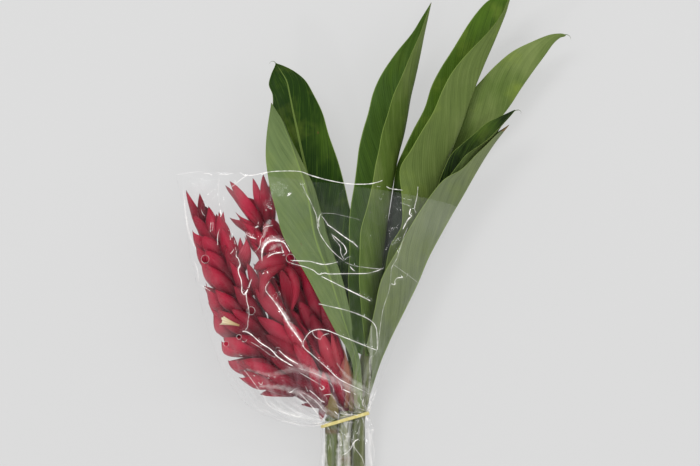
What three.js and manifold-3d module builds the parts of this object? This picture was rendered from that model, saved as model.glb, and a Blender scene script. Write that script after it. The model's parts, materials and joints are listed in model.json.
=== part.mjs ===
// Red ginger (Alpinia purpurata): two crimson flower heads and a leafy shoot, tied with a rubber
// band in a clear gathered sleeve and laid flat on a surface.
// Millimetres. +Y runs towards the leaf tips, +Z is up, and the tie lies at x = 0, y = 0 until the
// whole bunch is moved so that the origin is its bottom centre.

import * as THREE from "three";
import { mergeVertices } from "three/addons/utils/BufferGeometryUtils.js";
import Module from "manifold-3d";

const wasm = await Module();
wasm.setup();

// ---------------------------------------------------------------- driving dimensions

const gap = 0.3; // between pieces that touch on the real bunch
const goldenAngle = 2.39996;

const stemRadius = 6.5;
const stemPitch = 13.7; // between stem centres at the tie
const tieHeight = 34; // of the stem centres over the surface, at the tie
const stemLength = 821; // from the tie to the cut ends
const nodeSpacing = 92; // between the leaf scars of a stem

const filmThickness = 0.7;
const bandWidth = 3.4;
const bandThickness = 1.6;

const bractLength = 50;
const bractWidth = 23;
const bractThickness = 1.9;
const bractArch = 0.08; // of the back along the middle, in lengths
const bractHollow = 0.5; // how far the edges lie lower, in half widths
const bladeThickness = 0.8;
const ribThickness = 0.7; // what the midrib adds under the blade
const sheathRadius = stemRadius + gap + bladeThickness / 2 + 0.1; // of a leaf's clasping foot

const crimson = new THREE.MeshStandardMaterial({ color: 0x961a2e, roughness: 0.38 });
const leafGreen = new THREE.MeshStandardMaterial({ color: 0x2f5a17, roughness: 0.42, side: 2 });
const stemGreen = new THREE.MeshStandardMaterial({ color: 0x5c7a3a, roughness: 0.5 });
const dryCream = new THREE.MeshStandardMaterial({ color: 0xd8c79a, roughness: 0.8 });
const paleYellow = new THREE.MeshStandardMaterial({ color: 0xd9cb84, roughness: 0.6 });
const clearFilm = new THREE.MeshStandardMaterial({
  color: 0xeef2f4,
  roughness: 0.12,
  transparent: true,
  opacity: 0.25,
});

// ---------------------------------------------------------------- small helpers

const vec = (x, y, z) => new THREE.Vector3(x, y, z);

// A number from 0 to 1 that depends only on the two whole numbers given.
function draw(i, k) {
  const v = Math.sin(i * 12.9898 + k * 78.233) * 43758.5453;
  return v - Math.floor(v);
}

const mix = (a, b, t) => a + (b - a) * t;

// The value at u (0 to 1) of a uniform Catmull-Rom spline through rows of numbers.
function splineAt(rows, u) {
  const last = rows.length - 1;
  const i = Math.min(Math.floor(u * last), last - 1);
  const t = u * last - i;
  const at = (j) => rows[Math.min(Math.max(j, 0), last)];
  const [p, q, r, s] = [at(i - 1), at(i), at(i + 1), at(i + 2)];
  return q.map((b, k) => {
    const [a, c, d] = [p[k], r[k], s[k]];
    const square = 2 * a - 5 * b + 4 * c - d;
    const cube = 3 * (b - c) + d - a;
    return b + 0.5 * t * (c - a + t * (square + t * cube));
  });
}

function geometryOf(points, triangles) {
  const g = new THREE.BufferGeometry();
  g.setAttribute("position", new THREE.Float32BufferAttribute(points.flatMap((p) => [p.x, p.y, p.z]), 3));
  g.setIndex(triangles.flat());
  return g;
}

// The closed solid through rings of points, with flat fans at both ends unless the rings close.
function loft(rings, closesOnItself = false) {
  const count = rings[0].length;
  const points = rings.flat();
  const triangles = [];
  const ringTotal = rings.length;
  const steps = closesOnItself ? ringTotal : ringTotal - 1;
  for (let r = 0; r < steps; r++) {
    for (let c = 0; c < count; c++) {
      const a = r * count + c;
      const b = r * count + ((c + 1) % count);
      const over = ((r + 1) % ringTotal) * count - r * count;
      triangles.push([a, b, b + over], [a, b + over, a + over]);
    }
  }
  if (!closesOnItself) {
    const top = (ringTotal - 1) * count;
    for (let c = 1; c < count - 1; c++) {
      triangles.push([0, c + 1, c], [top, top + c, top + c + 1]);
    }
  }
  return geometryOf(points, triangles);
}

// A ring of points round a centre, square to the direction given.
function ringAround(centre, along, radius, sides) {
  const across = vec(0, 0, 1).cross(along).normalize();
  const up = along.clone().cross(across);
  return Array.from({ length: sides }, (_, k) => {
    const angle = (2 * Math.PI * k) / sides;
    return centre
      .clone()
      .addScaledVector(across, -radius * Math.cos(angle))
      .addScaledVector(up, -radius * Math.sin(angle));
  });
}

function solidOf(geometry) {
  const bare = geometry.clone();
  bare.deleteAttribute("normal");
  bare.deleteAttribute("uv");
  const merged = mergeVertices(bare, 1e-4);
  return new wasm.Manifold(
    new wasm.Mesh({
      numProp: 3,
      vertProperties: new Float32Array(merged.attributes.position.array),
      triVerts: new Uint32Array(merged.index.array),
    }),
  );
}

// All the closed meshes as one body, with any bubble sealed between them filled.
function fuse(geometries) {
  const whole = geometries.map(solidOf).reduce((sum, next) => sum.add(next));
  return whole.decompose().reduce((best, body) => (body.volume() > best.volume() ? body : best));
}

function geometryFrom(manifold) {
  const mesh = manifold.getMesh();
  const g = new THREE.BufferGeometry();
  g.setAttribute("position", new THREE.BufferAttribute(mesh.vertProperties, mesh.numProp));
  g.setIndex(new THREE.BufferAttribute(mesh.triVerts, 1));
  return g;
}

const bunch = new THREE.Group();

function addPiece(name, geometry, material) {
  geometry.computeVertexNormals();
  const mesh = new THREE.Mesh(geometry, material);
  mesh.name = name;
  bunch.add(mesh);
}

// ---------------------------------------------------------------- stems

// A cane with a slight swelling at each leaf scar. It rises from its cut end, which lies on the
// surface, to the tie and on to its top. x is its place at the tie, spread how far its cut end
// stands aside, cut how much shorter it is than the longest, shade where its scars fall.
function stem({ x, spread, cut, top, shade }) {
  const rings = [];
  const sides = 8;
  const count = 22;
  for (let i = 0; i <= count; i++) {
    const y = mix(-stemLength + cut, 0, i / count);
    const share = Math.min(-y / stemLength, 1);
    const swelling = 0.35 * Math.pow(Math.abs(Math.cos((Math.PI * (y + shade)) / nodeSpacing)), 12);
    const radius = stemRadius - 0.2 + (share > 0.05 ? swelling - 0.2 : 0);
    const bend = spread * share + 1.5 * Math.sin(share * 9 + shade) * Math.min(1, share * 4);
    const height = mix(radius, tieHeight, Math.pow(1 - share, 1.5));
    rings.push(ringAround(vec(x + bend, y, height), vec(0, 1, 0), radius, sides));
  }
  for (const { centre, along, radius } of top) {
    rings.push(ringAround(centre, along, radius, sides));
  }
  return loft(rings);
}

// ---------------------------------------------------------------- flower heads

// Half-spaces that a head keeps to: n . p + c stays above 0, and over softness nothing is moved.
const softness = 9;
const floorPlane = { n: [0, 0, 1], c: -2.6 };
const betweenHeads = { n: [0.76, 0.426, -0.491], c: 20 };
const flipped = ({ n, c }) => ({ n: n.map((v) => -v), c: -c - 1.2 });

function keepInside(p, planes) {
  for (const { n, c } of planes) {
    const distance = n[0] * p.x + n[1] * p.y + n[2] * p.z + c;
    if (distance < softness) {
      const kept = softness * Math.exp(distance / softness - 1);
      p.addScaledVector(vec(...n), kept - distance);
    }
  }
  return p;
}

// One boat-shaped bract from base to tip, its back turned towards outward.
function bract({ base, tip, outward, width }, planes) {
  const along = tip.clone().sub(base);
  const length = along.length();
  along.normalize();
  const out = outward.clone().addScaledVector(along, -outward.dot(along)).normalize();
  const side = along.clone().cross(out);
  const stations = outward.z < -0.2 ? 3 : 4;
  const points = [];
  for (let i = 0; i < stations; i++) {
    const s = i / stations;
    const half = (width / 2) * Math.pow(Math.sin(Math.PI * (0.16 + 0.84 * s)), 0.8);
    const centre = base
      .clone()
      .addScaledVector(along, length * s)
      .addScaledVector(out, 4 * bractArch * length * s * (1 - s));
    const edge = -bractHollow * half;
    const left = centre.clone().addScaledVector(side, -half).addScaledVector(out, edge);
    const right = centre.clone().addScaledVector(side, half).addScaledVector(out, edge);
    keepInside(left, planes);
    keepInside(right, planes);
    const back = keepInside(centre.clone(), planes);
    const front = back.clone().addScaledVector(out, -bractThickness);
    points.push(left, back, right, front);
  }
  points.push(keepInside(tip.clone(), planes));
  const triangles = [
    [0, 2, 1],
    [0, 3, 2],
  ];
  for (let i = 0; i < stations - 1; i++) {
    const a = 4 * i;
    for (let c = 0; c < 4; c++) {
      const b = a + ((c + 1) % 4);
      triangles.push([a + c, b, b + 4], [a + c, b + 4, a + c + 4]);
    }
  }
  const end = 4 * stations;
  for (let c = 0; c < 4; c++) {
    triangles.push([end - 4 + c, end - 4 + ((c + 1) % 4), end]);
  }
  return geometryOf(points, triangles);
}

// The frame along a head's axis at t from 0 to 1.
function axisFrame(axis, t) {
  const centre = vec(...splineAt(axis, t));
  const ahead = vec(...splineAt(axis, Math.min(t + 0.02, 1)));
  const behind = vec(...splineAt(axis, Math.max(t - 0.02, 0)));
  const along = ahead.sub(behind).normalize();
  const across = along.clone().cross(vec(0, 0, 1)).normalize();
  return { centre, along, across, up: across.clone().cross(along) };
}

// A head's bracts in a spiral, wide apart at the foot and closed at the tip. Those that face the
// surface are pressed closer to the axis than those at the sides. The spiral leaves out the front,
// where the film lies on the bracts.
const pressed = 0.55;
function spiralBracts(head) {
  const places = Array.from({ length: head.bracts }, (_, i) => i);
  const spiral = places.filter((i) => Math.sin(i * goldenAngle + head.phase) <= 0.3);
  return spiral.map((i) => {
    const share = (i + 0.5) / head.bracts;
    const t = mix(head.from, head.to, share);
    const frame = axisFrame(head.axis, t);
    const turn = i * goldenAngle + head.phase;
    const outward = frame.across
      .clone()
      .multiplyScalar(Math.cos(turn))
      .addScaledVector(frame.up, Math.sin(turn));
    const facing = Math.abs(Math.sin(turn));
    const spread = splineAt(head.lean, share)[0] * (1 - pressed * facing) + 10 * (draw(i, head.seed) - 0.5);
    const lean = THREE.MathUtils.degToRad(spread);
    const length = bractLength * splineAt(head.size, share)[0] * (0.9 + 0.2 * draw(i, head.seed + 1));
    const base = frame.centre.clone().addScaledVector(outward, 0.6 * splineAt(head.core, t)[0]);
    const tip = base
      .clone()
      .addScaledVector(frame.along, length * Math.cos(lean))
      .addScaledVector(outward, length * Math.sin(lean));
    const width = bractWidth * (0.45 + 0.55 * splineAt(head.size, share)[0]);
    const back = outward.clone().addScaledVector(frame.up, 0.6 * (1 - facing));
    return { base, tip, outward: back, width };
  });
}

// The bracts of a head's front, three to a row, turned aside as much as the head's front says.
function frontBracts(head) {
  return Array.from({ length: 3 * head.rows }, (_, i) => {
    const k = (i % 3) - 1;
    const share = (Math.floor(i / 3) + (k === 0 ? 0.1 : 0.5)) / head.rows;
    const t = mix(head.start, 0.86, share);
    const { centre, along, across, up } = axisFrame(head.axis, t);
    const core = splineAt(head.core, t)[0];
    const aside = splineAt(head.front, share)[k + 1] + 14 * (draw(i, head.seed + 2) - 0.5);
    const lean = THREE.MathUtils.degToRad(aside);
    const length = bractLength * (0.95 + 0.3 * draw(i, head.seed + 3)) * (1 - 0.35 * share * share);
    const base = centre
      .clone()
      .addScaledVector(across, k * 0.8 * core)
      .addScaledVector(up, core * (k === 0 ? 0.75 : 0.5))
      .addScaledVector(along, -8);
    const tip = base
      .clone()
      .addScaledVector(along, length * Math.cos(lean))
      .addScaledVector(across, -length * Math.sin(lean))
      .addScaledVector(up, 9 + 5 * draw(i, head.seed + 4));
    const width = bractWidth * (0.6 + 0.2 * draw(i, head.seed + 6));
    return { base, tip, outward: up.clone().addScaledVector(across, 0.35 * k), width };
  });
}

function placedBract({ base, tip, outward, width }) {
  return { base: vec(...base), tip: vec(...tip), outward: vec(...outward), width };
}

function flowerHead(head) {
  const coreSteps = 9;
  const core = Array.from({ length: coreSteps }, (_, i) => {
    const t = i / (coreSteps - 1);
    const frame = axisFrame(head.axis, t);
    const radius = i === coreSteps - 1 ? 2 : splineAt(head.core, t)[0];
    const foot = i === 0 ? gap : 0;
    return ringAround(frame.centre.addScaledVector(frame.along, foot), frame.along, radius, 8);
  });
  const bracts = [
    ...spiralBracts(head),
    ...frontBracts(head),
    ...head.placed.map(placedBract),
  ];
  return geometryFrom(fuse([loft(core), ...bracts.map((b) => bract(b, head.planes))]));
}

// Axes run from the stem's top to the head's tip.
const headOne = {
  axis: [
    [-13.7, 9, 35],
    [-25, 20, 37],
    [-46, 37, 40],
    [-70, 62, 43],
    [-95, 100, 45],
    [-114, 142, 45],
    [-130, 178, 44],
    [-146, 212, 43],
  ],
  core: [[5.4], [9], [14], [17], [16], [12], [7], [3]],
  rows: 9,
  start: 0.27,
  front: [
    [22, 20, 18],
    [38, 34, 28],
    [34, 28, 14],
    [24, 16, -4],
    [16, 8, -12],
  ],
  bracts: 38,
  from: 0.2,
  to: 0.92,
  phase: 0.4,
  seed: 3,
  lean: [[34], [40], [46], [46], [38], [28], [8]],
  size: [[0.8], [0.92], [1], [1], [0.92], [0.78], [0.55]],
  planes: [
    floorPlane,
    flipped(betweenHeads),
    { n: [0.972, 0.234, 0], c: 102 },
    { n: [0.726, 0.688, 0], c: 54 },
    { n: [0, 0, -1], c: 76 },
    { n: [0.723, 0.174, -0.669], c: 117 },
  ],
  placed: [
    { base: [-42, 28, 40], tip: [-85, 26, 35], outward: [0, -1, 0.6], width: 12 },
    { base: [-22, 18, 38], tip: [-24, -1, 40], outward: [-0.6, 0, 1], width: 9 },
    { base: [-15, 12, 43], tip: [-22, 50, 60], outward: [0.2, 0, 1], width: 13 },
    { base: [-19, 16, 45], tip: [-36, 56, 59], outward: [0.1, 0, 1], width: 13 },
    { base: [-21, 20, 44], tip: [-58, 36, 53], outward: [0, -0.3, 1], width: 12 },
    { base: [-26, 28, 46], tip: [-66, 58, 58], outward: [0, -0.1, 1], width: 14 },
    { base: [-27, 31, 46], tip: [-76, 46, 50], outward: [0, -0.6, 1], width: 13 },
    { base: [-28, 44, 52], tip: [-70, 70, 60], outward: [0, -0.2, 1], width: 15 },
    { base: [-66, 54, 46], tip: [-114, 59, 44], outward: [-0.2, -0.6, 1], width: 16 },
    { base: [-82, 66, 52], tip: [-121, 74, 46], outward: [0, -0.5, 1], width: 13 },
    { base: [-90, 74, 52], tip: [-132, 91, 48], outward: [-0.2, -0.5, 1], width: 15 },
    { base: [-26, 42, 53], tip: [-52, 78, 62], outward: [0.2, 0, 1], width: 14 },
    { base: [-36, 58, 55], tip: [-80, 86, 63], outward: [0, 0, 1], width: 16 },
    { base: [-35, 66, 56], tip: [-63, 104, 65], outward: [0.2, 0, 1], width: 15 },
    { base: [-46, 74, 57], tip: [-88, 104, 64], outward: [0.1, 0, 1], width: 16 },
    { base: [-100, 86, 50], tip: [-140, 117, 46], outward: [-0.2, -0.5, 1], width: 16 },
    { base: [-104, 106, 52], tip: [-143.5, 134, 48], outward: [-0.3, -0.4, 1], width: 16 },
    { base: [-99, 120, 54], tip: [-142, 152, 50], outward: [-0.3, -0.3, 1], width: 18 },
    { base: [-58, 96, 57], tip: [-90, 132, 63], outward: [0.2, 0, 1], width: 15 },
    { base: [-66, 112, 56], tip: [-86, 150, 62], outward: [0.3, 0, 1], width: 14 },
    { base: [-79, 112, 50], tip: [-98, 158, 54], outward: [0.3, 0.1, 1], width: 13 },
    { base: [-103, 130, 54], tip: [-146, 180, 53], outward: [-0.3, -0.1, 1], width: 19 },
    { base: [-114, 146, 52], tip: [-152, 206, 52], outward: [-0.3, -0.1, 1], width: 18 },
    { base: [-110, 152, 54], tip: [-123, 195, 60], outward: [0.2, 0, 1], width: 16 },
    { base: [-108, 156, 48], tip: [-112, 184, 50], outward: [0.2, 0, 1], width: 8 },
    { base: [-102, 150, 46], tip: [-105, 183, 48], outward: [0.3, 0, 1], width: 9 },
    { base: [-127, 176, 52], tip: [-136.4, 213.5, 57], outward: [0.1, 0, 1], width: 14 },
    { base: [-125, 178, 48], tip: [-128, 206, 50], outward: [0, 0, 1], width: 7 },
    { base: [-124, 178, 46], tip: [-121.5, 208.5, 46], outward: [0.3, 0, 1], width: 7 },
    { base: [-141, 186, 46], tip: [-145, 227, 48], outward: [0, 0, 1], width: 10 },
    { base: [-139, 177, 46], tip: [-159, 230, 46], outward: [-0.5, 0, 1], width: 11 },
  ],
};

const headTwo = {
  axis: [
    [0, 9, 35],
    [-1, 22, 36],
    [-6, 40, 36],
    [-18, 68, 35],
    [-37, 104, 34],
    [-59, 148, 34],
    [-75, 184, 35],
    [-84, 208, 37],
  ],
  core: [[5.4], [7], [9], [13], [14], [12], [9], [5]],
  rows: 8,
  start: 0.14,
  front: [
    [14, 6, -6],
    [10, 2, -8],
    [14, 4, -6],
    [20, 8, -4],
    [26, 12, -2],
  ],
  bracts: 32,
  from: 0.2,
  to: 0.95,
  phase: 1.3,
  seed: 11,
  lean: [[42], [46], [48], [48], [46], [40], [26]],
  size: [[0.75], [0.95], [1.05], [1.05], [1], [0.85], [0.65]],
  planes: [
    floorPlane,
    betweenHeads,
    { n: [-0.933, -0.36, 0], c: 25 },
    { n: [0, 0, -1], c: 70 },
  ],
  placed: [
    { base: [-2, 26, 40], tip: [-1, 62, 52], outward: [0.6, 0, 1], width: 12 },
    { base: [-7, 14, 39], tip: [-24, 52, 47], outward: [-0.4, -0.2, 1], width: 13 },
    { base: [-4, 14, 43], tip: [-20, 50, 53], outward: [-0.3, -0.1, 1], width: 13 },
    { base: [-2, 13, 42], tip: [-9, 44, 54], outward: [0.1, -0.1, 1], width: 12 },
    { base: [1, 34, 42], tip: [-14, 88, 57], outward: [0.5, 0, 1], width: 13 },
    { base: [-3, 32, 44], tip: [-27, 92, 61], outward: [0.1, 0, 1], width: 16 },
    { base: [-10, 38, 46], tip: [-45, 76, 58], outward: [-0.2, -0.2, 1], width: 14 },
    { base: [-21, 98, 44], tip: [-46, 158, 54], outward: [0.2, 0, 1], width: 15 },
    { base: [-60, 108, 52], tip: [-63, 150, 66], outward: [0, 0.3, -1], width: 21 },
    { base: [-74, 104, 52], tip: [-80, 146, 58], outward: [-0.3, 0, 1], width: 11 },
    { base: [-48, 140, 48], tip: [-66, 186, 54], outward: [0.2, 0, 1], width: 16 },
    { base: [-60, 148, 52], tip: [-80, 198, 58], outward: [0, 0, 1], width: 21 },
    { base: [-78, 158, 46], tip: [-100, 178, 50], outward: [-0.3, -0.2, 1], width: 10 },
    { base: [-78, 170, 46], tip: [-99, 188, 48], outward: [-0.3, -0.2, 1], width: 8 },
    { base: [-78, 178, 48], tip: [-109.5, 199, 52], outward: [-0.2, -0.2, 1], width: 11 },
    { base: [-84, 188, 46], tip: [-113, 206, 52], outward: [-0.2, -0.2, 1], width: 6 },
    { base: [-84, 190, 46], tip: [-108, 219, 48], outward: [-0.5, -0.3, 1], width: 10 },
    { base: [-86, 192, 44], tip: [-119.5, 235, 50], outward: [-0.5, -0.3, 1], width: 9 },
    { base: [-82, 192, 46], tip: [-115, 239, 53], outward: [-0.2, 0, 1], width: 12 },
    { base: [-79, 194, 44], tip: [-92, 242, 45], outward: [-0.2, 0, 1], width: 10 },
    { base: [-76, 194, 46], tip: [-82, 246, 50], outward: [0, 0, 1], width: 12 },
    { base: [-72, 192, 44], tip: [-76, 236, 46], outward: [0.3, 0, 1], width: 9 },
  ],
};

// ---------------------------------------------------------------- leaves

// The leafy stem's centre above the tie, which the leaf sheaths clasp.
const shootAt = (y) => vec(stemPitch + 0.13 * y, y, tieHeight + 0.12 * y);
const shootTop = 76;

// Rows run from the petiole to the tip. Each is a point of one margin, of the midrib and of the
// other margin. sheath says where the foot clasps the leafy stem, and in which direction.
const leaves = {
  leaf_1: {
    sheath: { y: 31, angle: 140, spread: 34 },
    ribSide: -1,
    wave: 0.8,
    rows: [
      [4, 56, 44, 9, 54, 43, 12.5, 52, 45],
      [-1, 81, 45, 4, 79, 42, 9, 78, 44],
      [-9, 113, 45, -3, 110, 40, 10, 109, 43],
      [-23, 152, 46, -13, 149, 39, 11, 147, 42],
      [-39, 193, 46, -23, 189, 38, 10, 186, 42],
      [-54, 225, 46, -31, 220, 39, 4, 216, 43],
      [-66, 255, 47, -39, 250, 41, -3, 246, 45],
      [-73, 291, 51, -47.6, 289, 45, -16, 285, 49],
      [-71, 318, 53, -53.5, 316, 48, -27, 316, 52],
      [-75.5, 335, 54, -58, 338, 51, -40, 339, 53],
      [-72, 349, 55, -65, 350, 53, -55, 351, 54],
      [-69.5, 355, 55.5, -68.5, 355.6, 55.2, -67.5, 356, 55.6],
    ],
    tip: [-75.6, 356, 58],
  },
  leaf_2: {
    sheath: { y: 46, angle: 112, spread: 30 },
    ribSide: 1,
    wave: 0.7,
    rows: [
      [4, 67, 56, 9, 66, 56, 12, 65, 54],
      [-4, 88, 64, 3.5, 86, 65, 8, 84, 61],
      [-20, 109, 70, -3, 106, 71, 6.5, 103, 65],
      [-42, 150, 74, -16, 146, 76, -3, 142, 67],
      [-60, 181, 74, -28.5, 178, 78, -15, 175, 66],
      [-67, 204, 72, -33.5, 203, 78, -22, 200, 66],
      [-73, 225, 70, -38, 228, 77, -28, 225, 65],
      [-77.5, 247, 68, -45, 250, 74, -38, 248, 64],
      [-79.5, 270, 65, -54, 276, 71, -50, 273, 63],
      [-77, 294, 62, -63.5, 300, 67, -61, 297, 61],
    ],
    tip: [-73.5, 317, 60],
  },
  leaf_3: {
    sheath: { y: 64, angle: 75, spread: 30 },
    ribSide: -1,
    wave: 1,
    rows: [
      [15, 90, 53, 27, 90, 49, 19, 91, 58],
      [7, 131, 51, 34, 130, 43, 15, 131, 63],
      [4, 172, 51, 40, 170, 41, 14, 171, 69],
      [5, 207, 50, 46, 205, 41, 18, 205, 73],
      [9.5, 241, 49, 51, 239, 41, 28, 240, 74],
      [13, 269, 48, 55, 266, 41, 32.5, 267, 73],
      [19, 295, 47, 60, 291, 41, 37.5, 293, 71],
      [28, 325, 46, 65, 321, 42, 48, 322, 68],
      [41, 354, 46, 72, 351, 44, 60, 352, 64],
      [66.5, 386, 50, 79, 385, 48, 74.5, 385, 57],
    ],
    tip: [86.3, 417.7, 52],
  },
  leaf_4: {
    sheath: { y: 68, angle: -5, spread: 28 },
    ribSide: -1,
    wave: 1.4,
    rows: [
      [31, 92, 36, 38, 89, 37.5, 32.5, 92, 42],
      [34, 127, 33, 48, 122, 38, 39, 126, 44],
      [37, 167, 31, 62, 158, 37, 43, 166, 49],
      [44, 205, 32, 76, 192, 37, 58, 199, 58],
      [50, 246, 34, 91, 229, 39, 54, 244, 55],
      [62, 278, 38, 102, 259, 42, 68, 275, 61],
      [78, 308, 41, 115, 291, 45, 87, 304, 67],
      [90, 341, 44, 126, 323, 48, 99.5, 335, 69],
      [106, 368, 47, 138, 353, 50, 118, 362, 68],
      [132, 409, 52, 156, 396, 54, 151.5, 398, 62],
      [151, 423, 56, 163, 416, 57, 161, 416, 60],
    ],
    tip: [168, 432, 60],
  },
  leaf_5: {
    sheath: { y: 48, angle: -60, spread: 28 },
    ribSide: -1,
    wave: 1,
    rows: [
      [27, 72, 26, 35, 68, 28, 28, 72, 33],
      [33, 91, 20, 40, 88, 26, 33, 91, 31],
      [38, 126, 13, 48, 120, 22, 39, 125, 27],
      [42, 161, 9, 57, 152, 21, 43, 160, 26],
      [52, 203, 10, 71, 192, 20, 53, 202, 26],
      [70, 246, 11, 92, 232, 21, 72, 245, 28],
      [94, 284, 12, 122, 265, 22, 95, 282, 31],
      [116, 316, 17, 148, 294, 27, 116, 315, 36],
      [132, 338, 21, 164, 313.5, 30, 133, 335, 39],
      [155, 359, 26, 180, 338, 33, 156, 360, 41],
      [185, 377, 31, 199, 364, 36, 186, 378.5, 42],
      [208, 384, 37, 211, 380, 38, 210, 386.7, 41],
      [219, 385, 40, 219.3, 384, 40, 219.6, 386, 41.5],
    ],
    tip: [226, 381, 40],
  },
  leaf_6: {
    sheath: { y: 55, angle: 35, spread: 28 },
    ribSide: -1,
    wave: 0.8,
    rows: [
      [31.5, 68, 42, 34, 67, 45, 30, 68, 49],
      [36, 93, 43, 42, 91, 45.5, 36, 93, 50],
      [48, 131, 44, 58, 126, 47, 48, 131, 52.5],
      [62, 168, 45, 74, 160, 48, 62, 168, 55],
      [78, 206, 47, 94, 194, 49, 79, 204, 58],
      [91, 230, 48, 108, 216, 50, 92, 227, 60],
      [104, 262, 50, 123, 246, 52, 112, 254, 61],
      [121, 279, 52, 135.5, 267, 54, 124, 268, 63],
      [140, 295, 55, 148.5, 283, 57, 141, 279, 64],
      [157, 304, 59, 160, 300, 60, 157, 295, 64],
      [168.5, 309.5, 62, 169, 308.6, 61.7, 169.6, 309, 62.4],
    ],
    tip: [175, 307, 62],
  },
  leaf_7: {
    sheath: { y: 26, angle: -10, spread: 30 },
    ribSide: -1,
    wave: 0.9,
    rows: [
      [31.5, 54, 36, 33, 53, 42, 27, 55, 49],
      [38, 70, 38, 40, 70, 47, 22, 73, 58],
      [46, 93, 37, 49.5, 91, 49, 27, 94, 61],
      [64, 132, 33, 69, 130, 48.5, 36, 134, 65],
      [82, 174, 29, 87, 171, 48, 55, 178, 68],
      [108, 224, 30, 115, 220, 49, 88.5, 232, 70],
      [125, 250, 36, 131, 248, 52, 117, 252, 68],
      [139, 272, 42, 144.5, 270, 55, 136.5, 271, 66],
      [151.5, 287, 50, 156, 285.5, 58, 151, 285, 63],
    ],
    tip: [163.6, 295, 61],
  },
};

// The foot of a blade: three points on the arc that clasps the leafy stem.
function sheathRow({ y, angle, spread }, ribSide) {
  const centre = shootAt(y);
  const turn = ribSide > 0 || angle > 140 ? -1 : 1;
  return [-spread, 0, spread].flatMap((step) => {
    const a = THREE.MathUtils.degToRad(angle + turn * step);
    return [centre.x + sheathRadius * Math.cos(a), y, centre.z + sheathRadius * Math.sin(a)];
  });
}

// The blade's middle surface as rows of 5 points: margin, half, midrib, half, margin.
function bladeGrid(leaf, count) {
  const rows = [sheathRow(leaf.sheath, leaf.ribSide), ...leaf.rows];
  return Array.from({ length: count }, (_, i) => {
    const u = i / (count - 1);
    const row = splineAt(rows, u);
    const [left, rib, right] = [0, 3, 6].map((k) => vec(row[k], row[k + 1], row[k + 2]));
    const ahead = splineAt(rows, Math.min(u + 0.01, 1));
    const behind = splineAt(rows, Math.max(u - 0.01, 0));
    const along = vec(ahead[3] - behind[3], ahead[4] - behind[4], ahead[5] - behind[5]).normalize();
    const half = (margin, sign) => {
      const across = rib.clone().sub(margin).multiplyScalar(sign);
      const face = across.clone().cross(along).normalize();
      const middle = margin.clone().lerp(rib, 0.5);
      return { middle: middle.addScaledVector(face, -0.07 * across.length()), face };
    };
    const one = half(left, 1);
    const two = half(right, -1);
    const ripple = leaf.wave * Math.sin(u * 31 + left.x) * Math.sin(Math.PI * u);
    left.addScaledVector(one.face, ripple);
    right.addScaledVector(two.face, -ripple);
    return [left, one.middle, rib, two.middle, right];
  });
}

// The two triangles of a four-sided patch.
function quad(a, b, c, d, turned) {
  return turned
    ? [
        [a, c, b],
        [a, d, c],
      ]
    : [
        [a, b, c],
        [a, c, d],
      ];
}

// A thin closed blade on both sides of a grid, drawn out to one tip point.
function bladeSolid(grid, tip, ribSide) {
  const columns = grid[0].length;
  const kept = (i, total) => Math.min(Math.max(i, 0), total - 1);
  const at = (r, c) => grid[kept(r, grid.length)][kept(c, columns)];
  const points = [];
  grid.forEach((row, r) => {
    const normals = row.map((_, c) => {
      const along = at(r + 1, c).clone().sub(at(r - 1, c));
      const across = at(r, c + 1).clone().sub(at(r, c - 1));
      return across.cross(along).normalize();
    });
    const rib = ribThickness * (1 - r / grid.length);
    for (const face of [1, -1]) {
      row.forEach((p, c) => {
        const extra = c === 2 && face === ribSide ? rib : 0;
        points.push(p.clone().addScaledVector(normals[c], face * (bladeThickness / 2 + extra)));
      });
    }
  });
  points.push(vec(...tip));
  const triangles = [];
  const index = (r, c, face) => 2 * columns * r + (face ? columns : 0) + c;
  const last = grid.length - 1;
  const end = points.length - 1;
  for (let r = 0; r < last; r++) {
    for (let c = 0; c < columns - 1; c++) {
      for (const face of [0, 1]) {
        const [a, b] = [index(r, c, face), index(r, c + 1, face)];
        const [e, d] = [index(r + 1, c, face), index(r + 1, c + 1, face)];
        triangles.push(...quad(a, b, d, e, face === 1));
      }
    }
    for (const c of [0, columns - 1]) {
      const [a, b] = [index(r, c, 0), index(r, c, 1)];
      const [e, d] = [index(r + 1, c, 0), index(r + 1, c, 1)];
      triangles.push(...quad(a, b, d, e, c === 0));
    }
  }
  for (let c = 0; c < columns - 1; c++) {
    const [a, b] = [index(0, c, 0), index(0, c + 1, 0)];
    const [e, d] = [index(0, c, 1), index(0, c + 1, 1)];
    triangles.push(...quad(a, b, d, e, true));
    triangles.push([index(last, c, 0), index(last, c + 1, 0), end]);
    triangles.push([index(last, c + 1, 1), index(last, c, 1), end]);
  }
  triangles.push([index(last, 0, 1), index(last, 0, 0), end]);
  triangles.push([index(last, columns - 1, 0), index(last, columns - 1, 1), end]);
  return geometryOf(points, triangles);
}

// ---------------------------------------------------------------- film sleeve and rubber band

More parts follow.
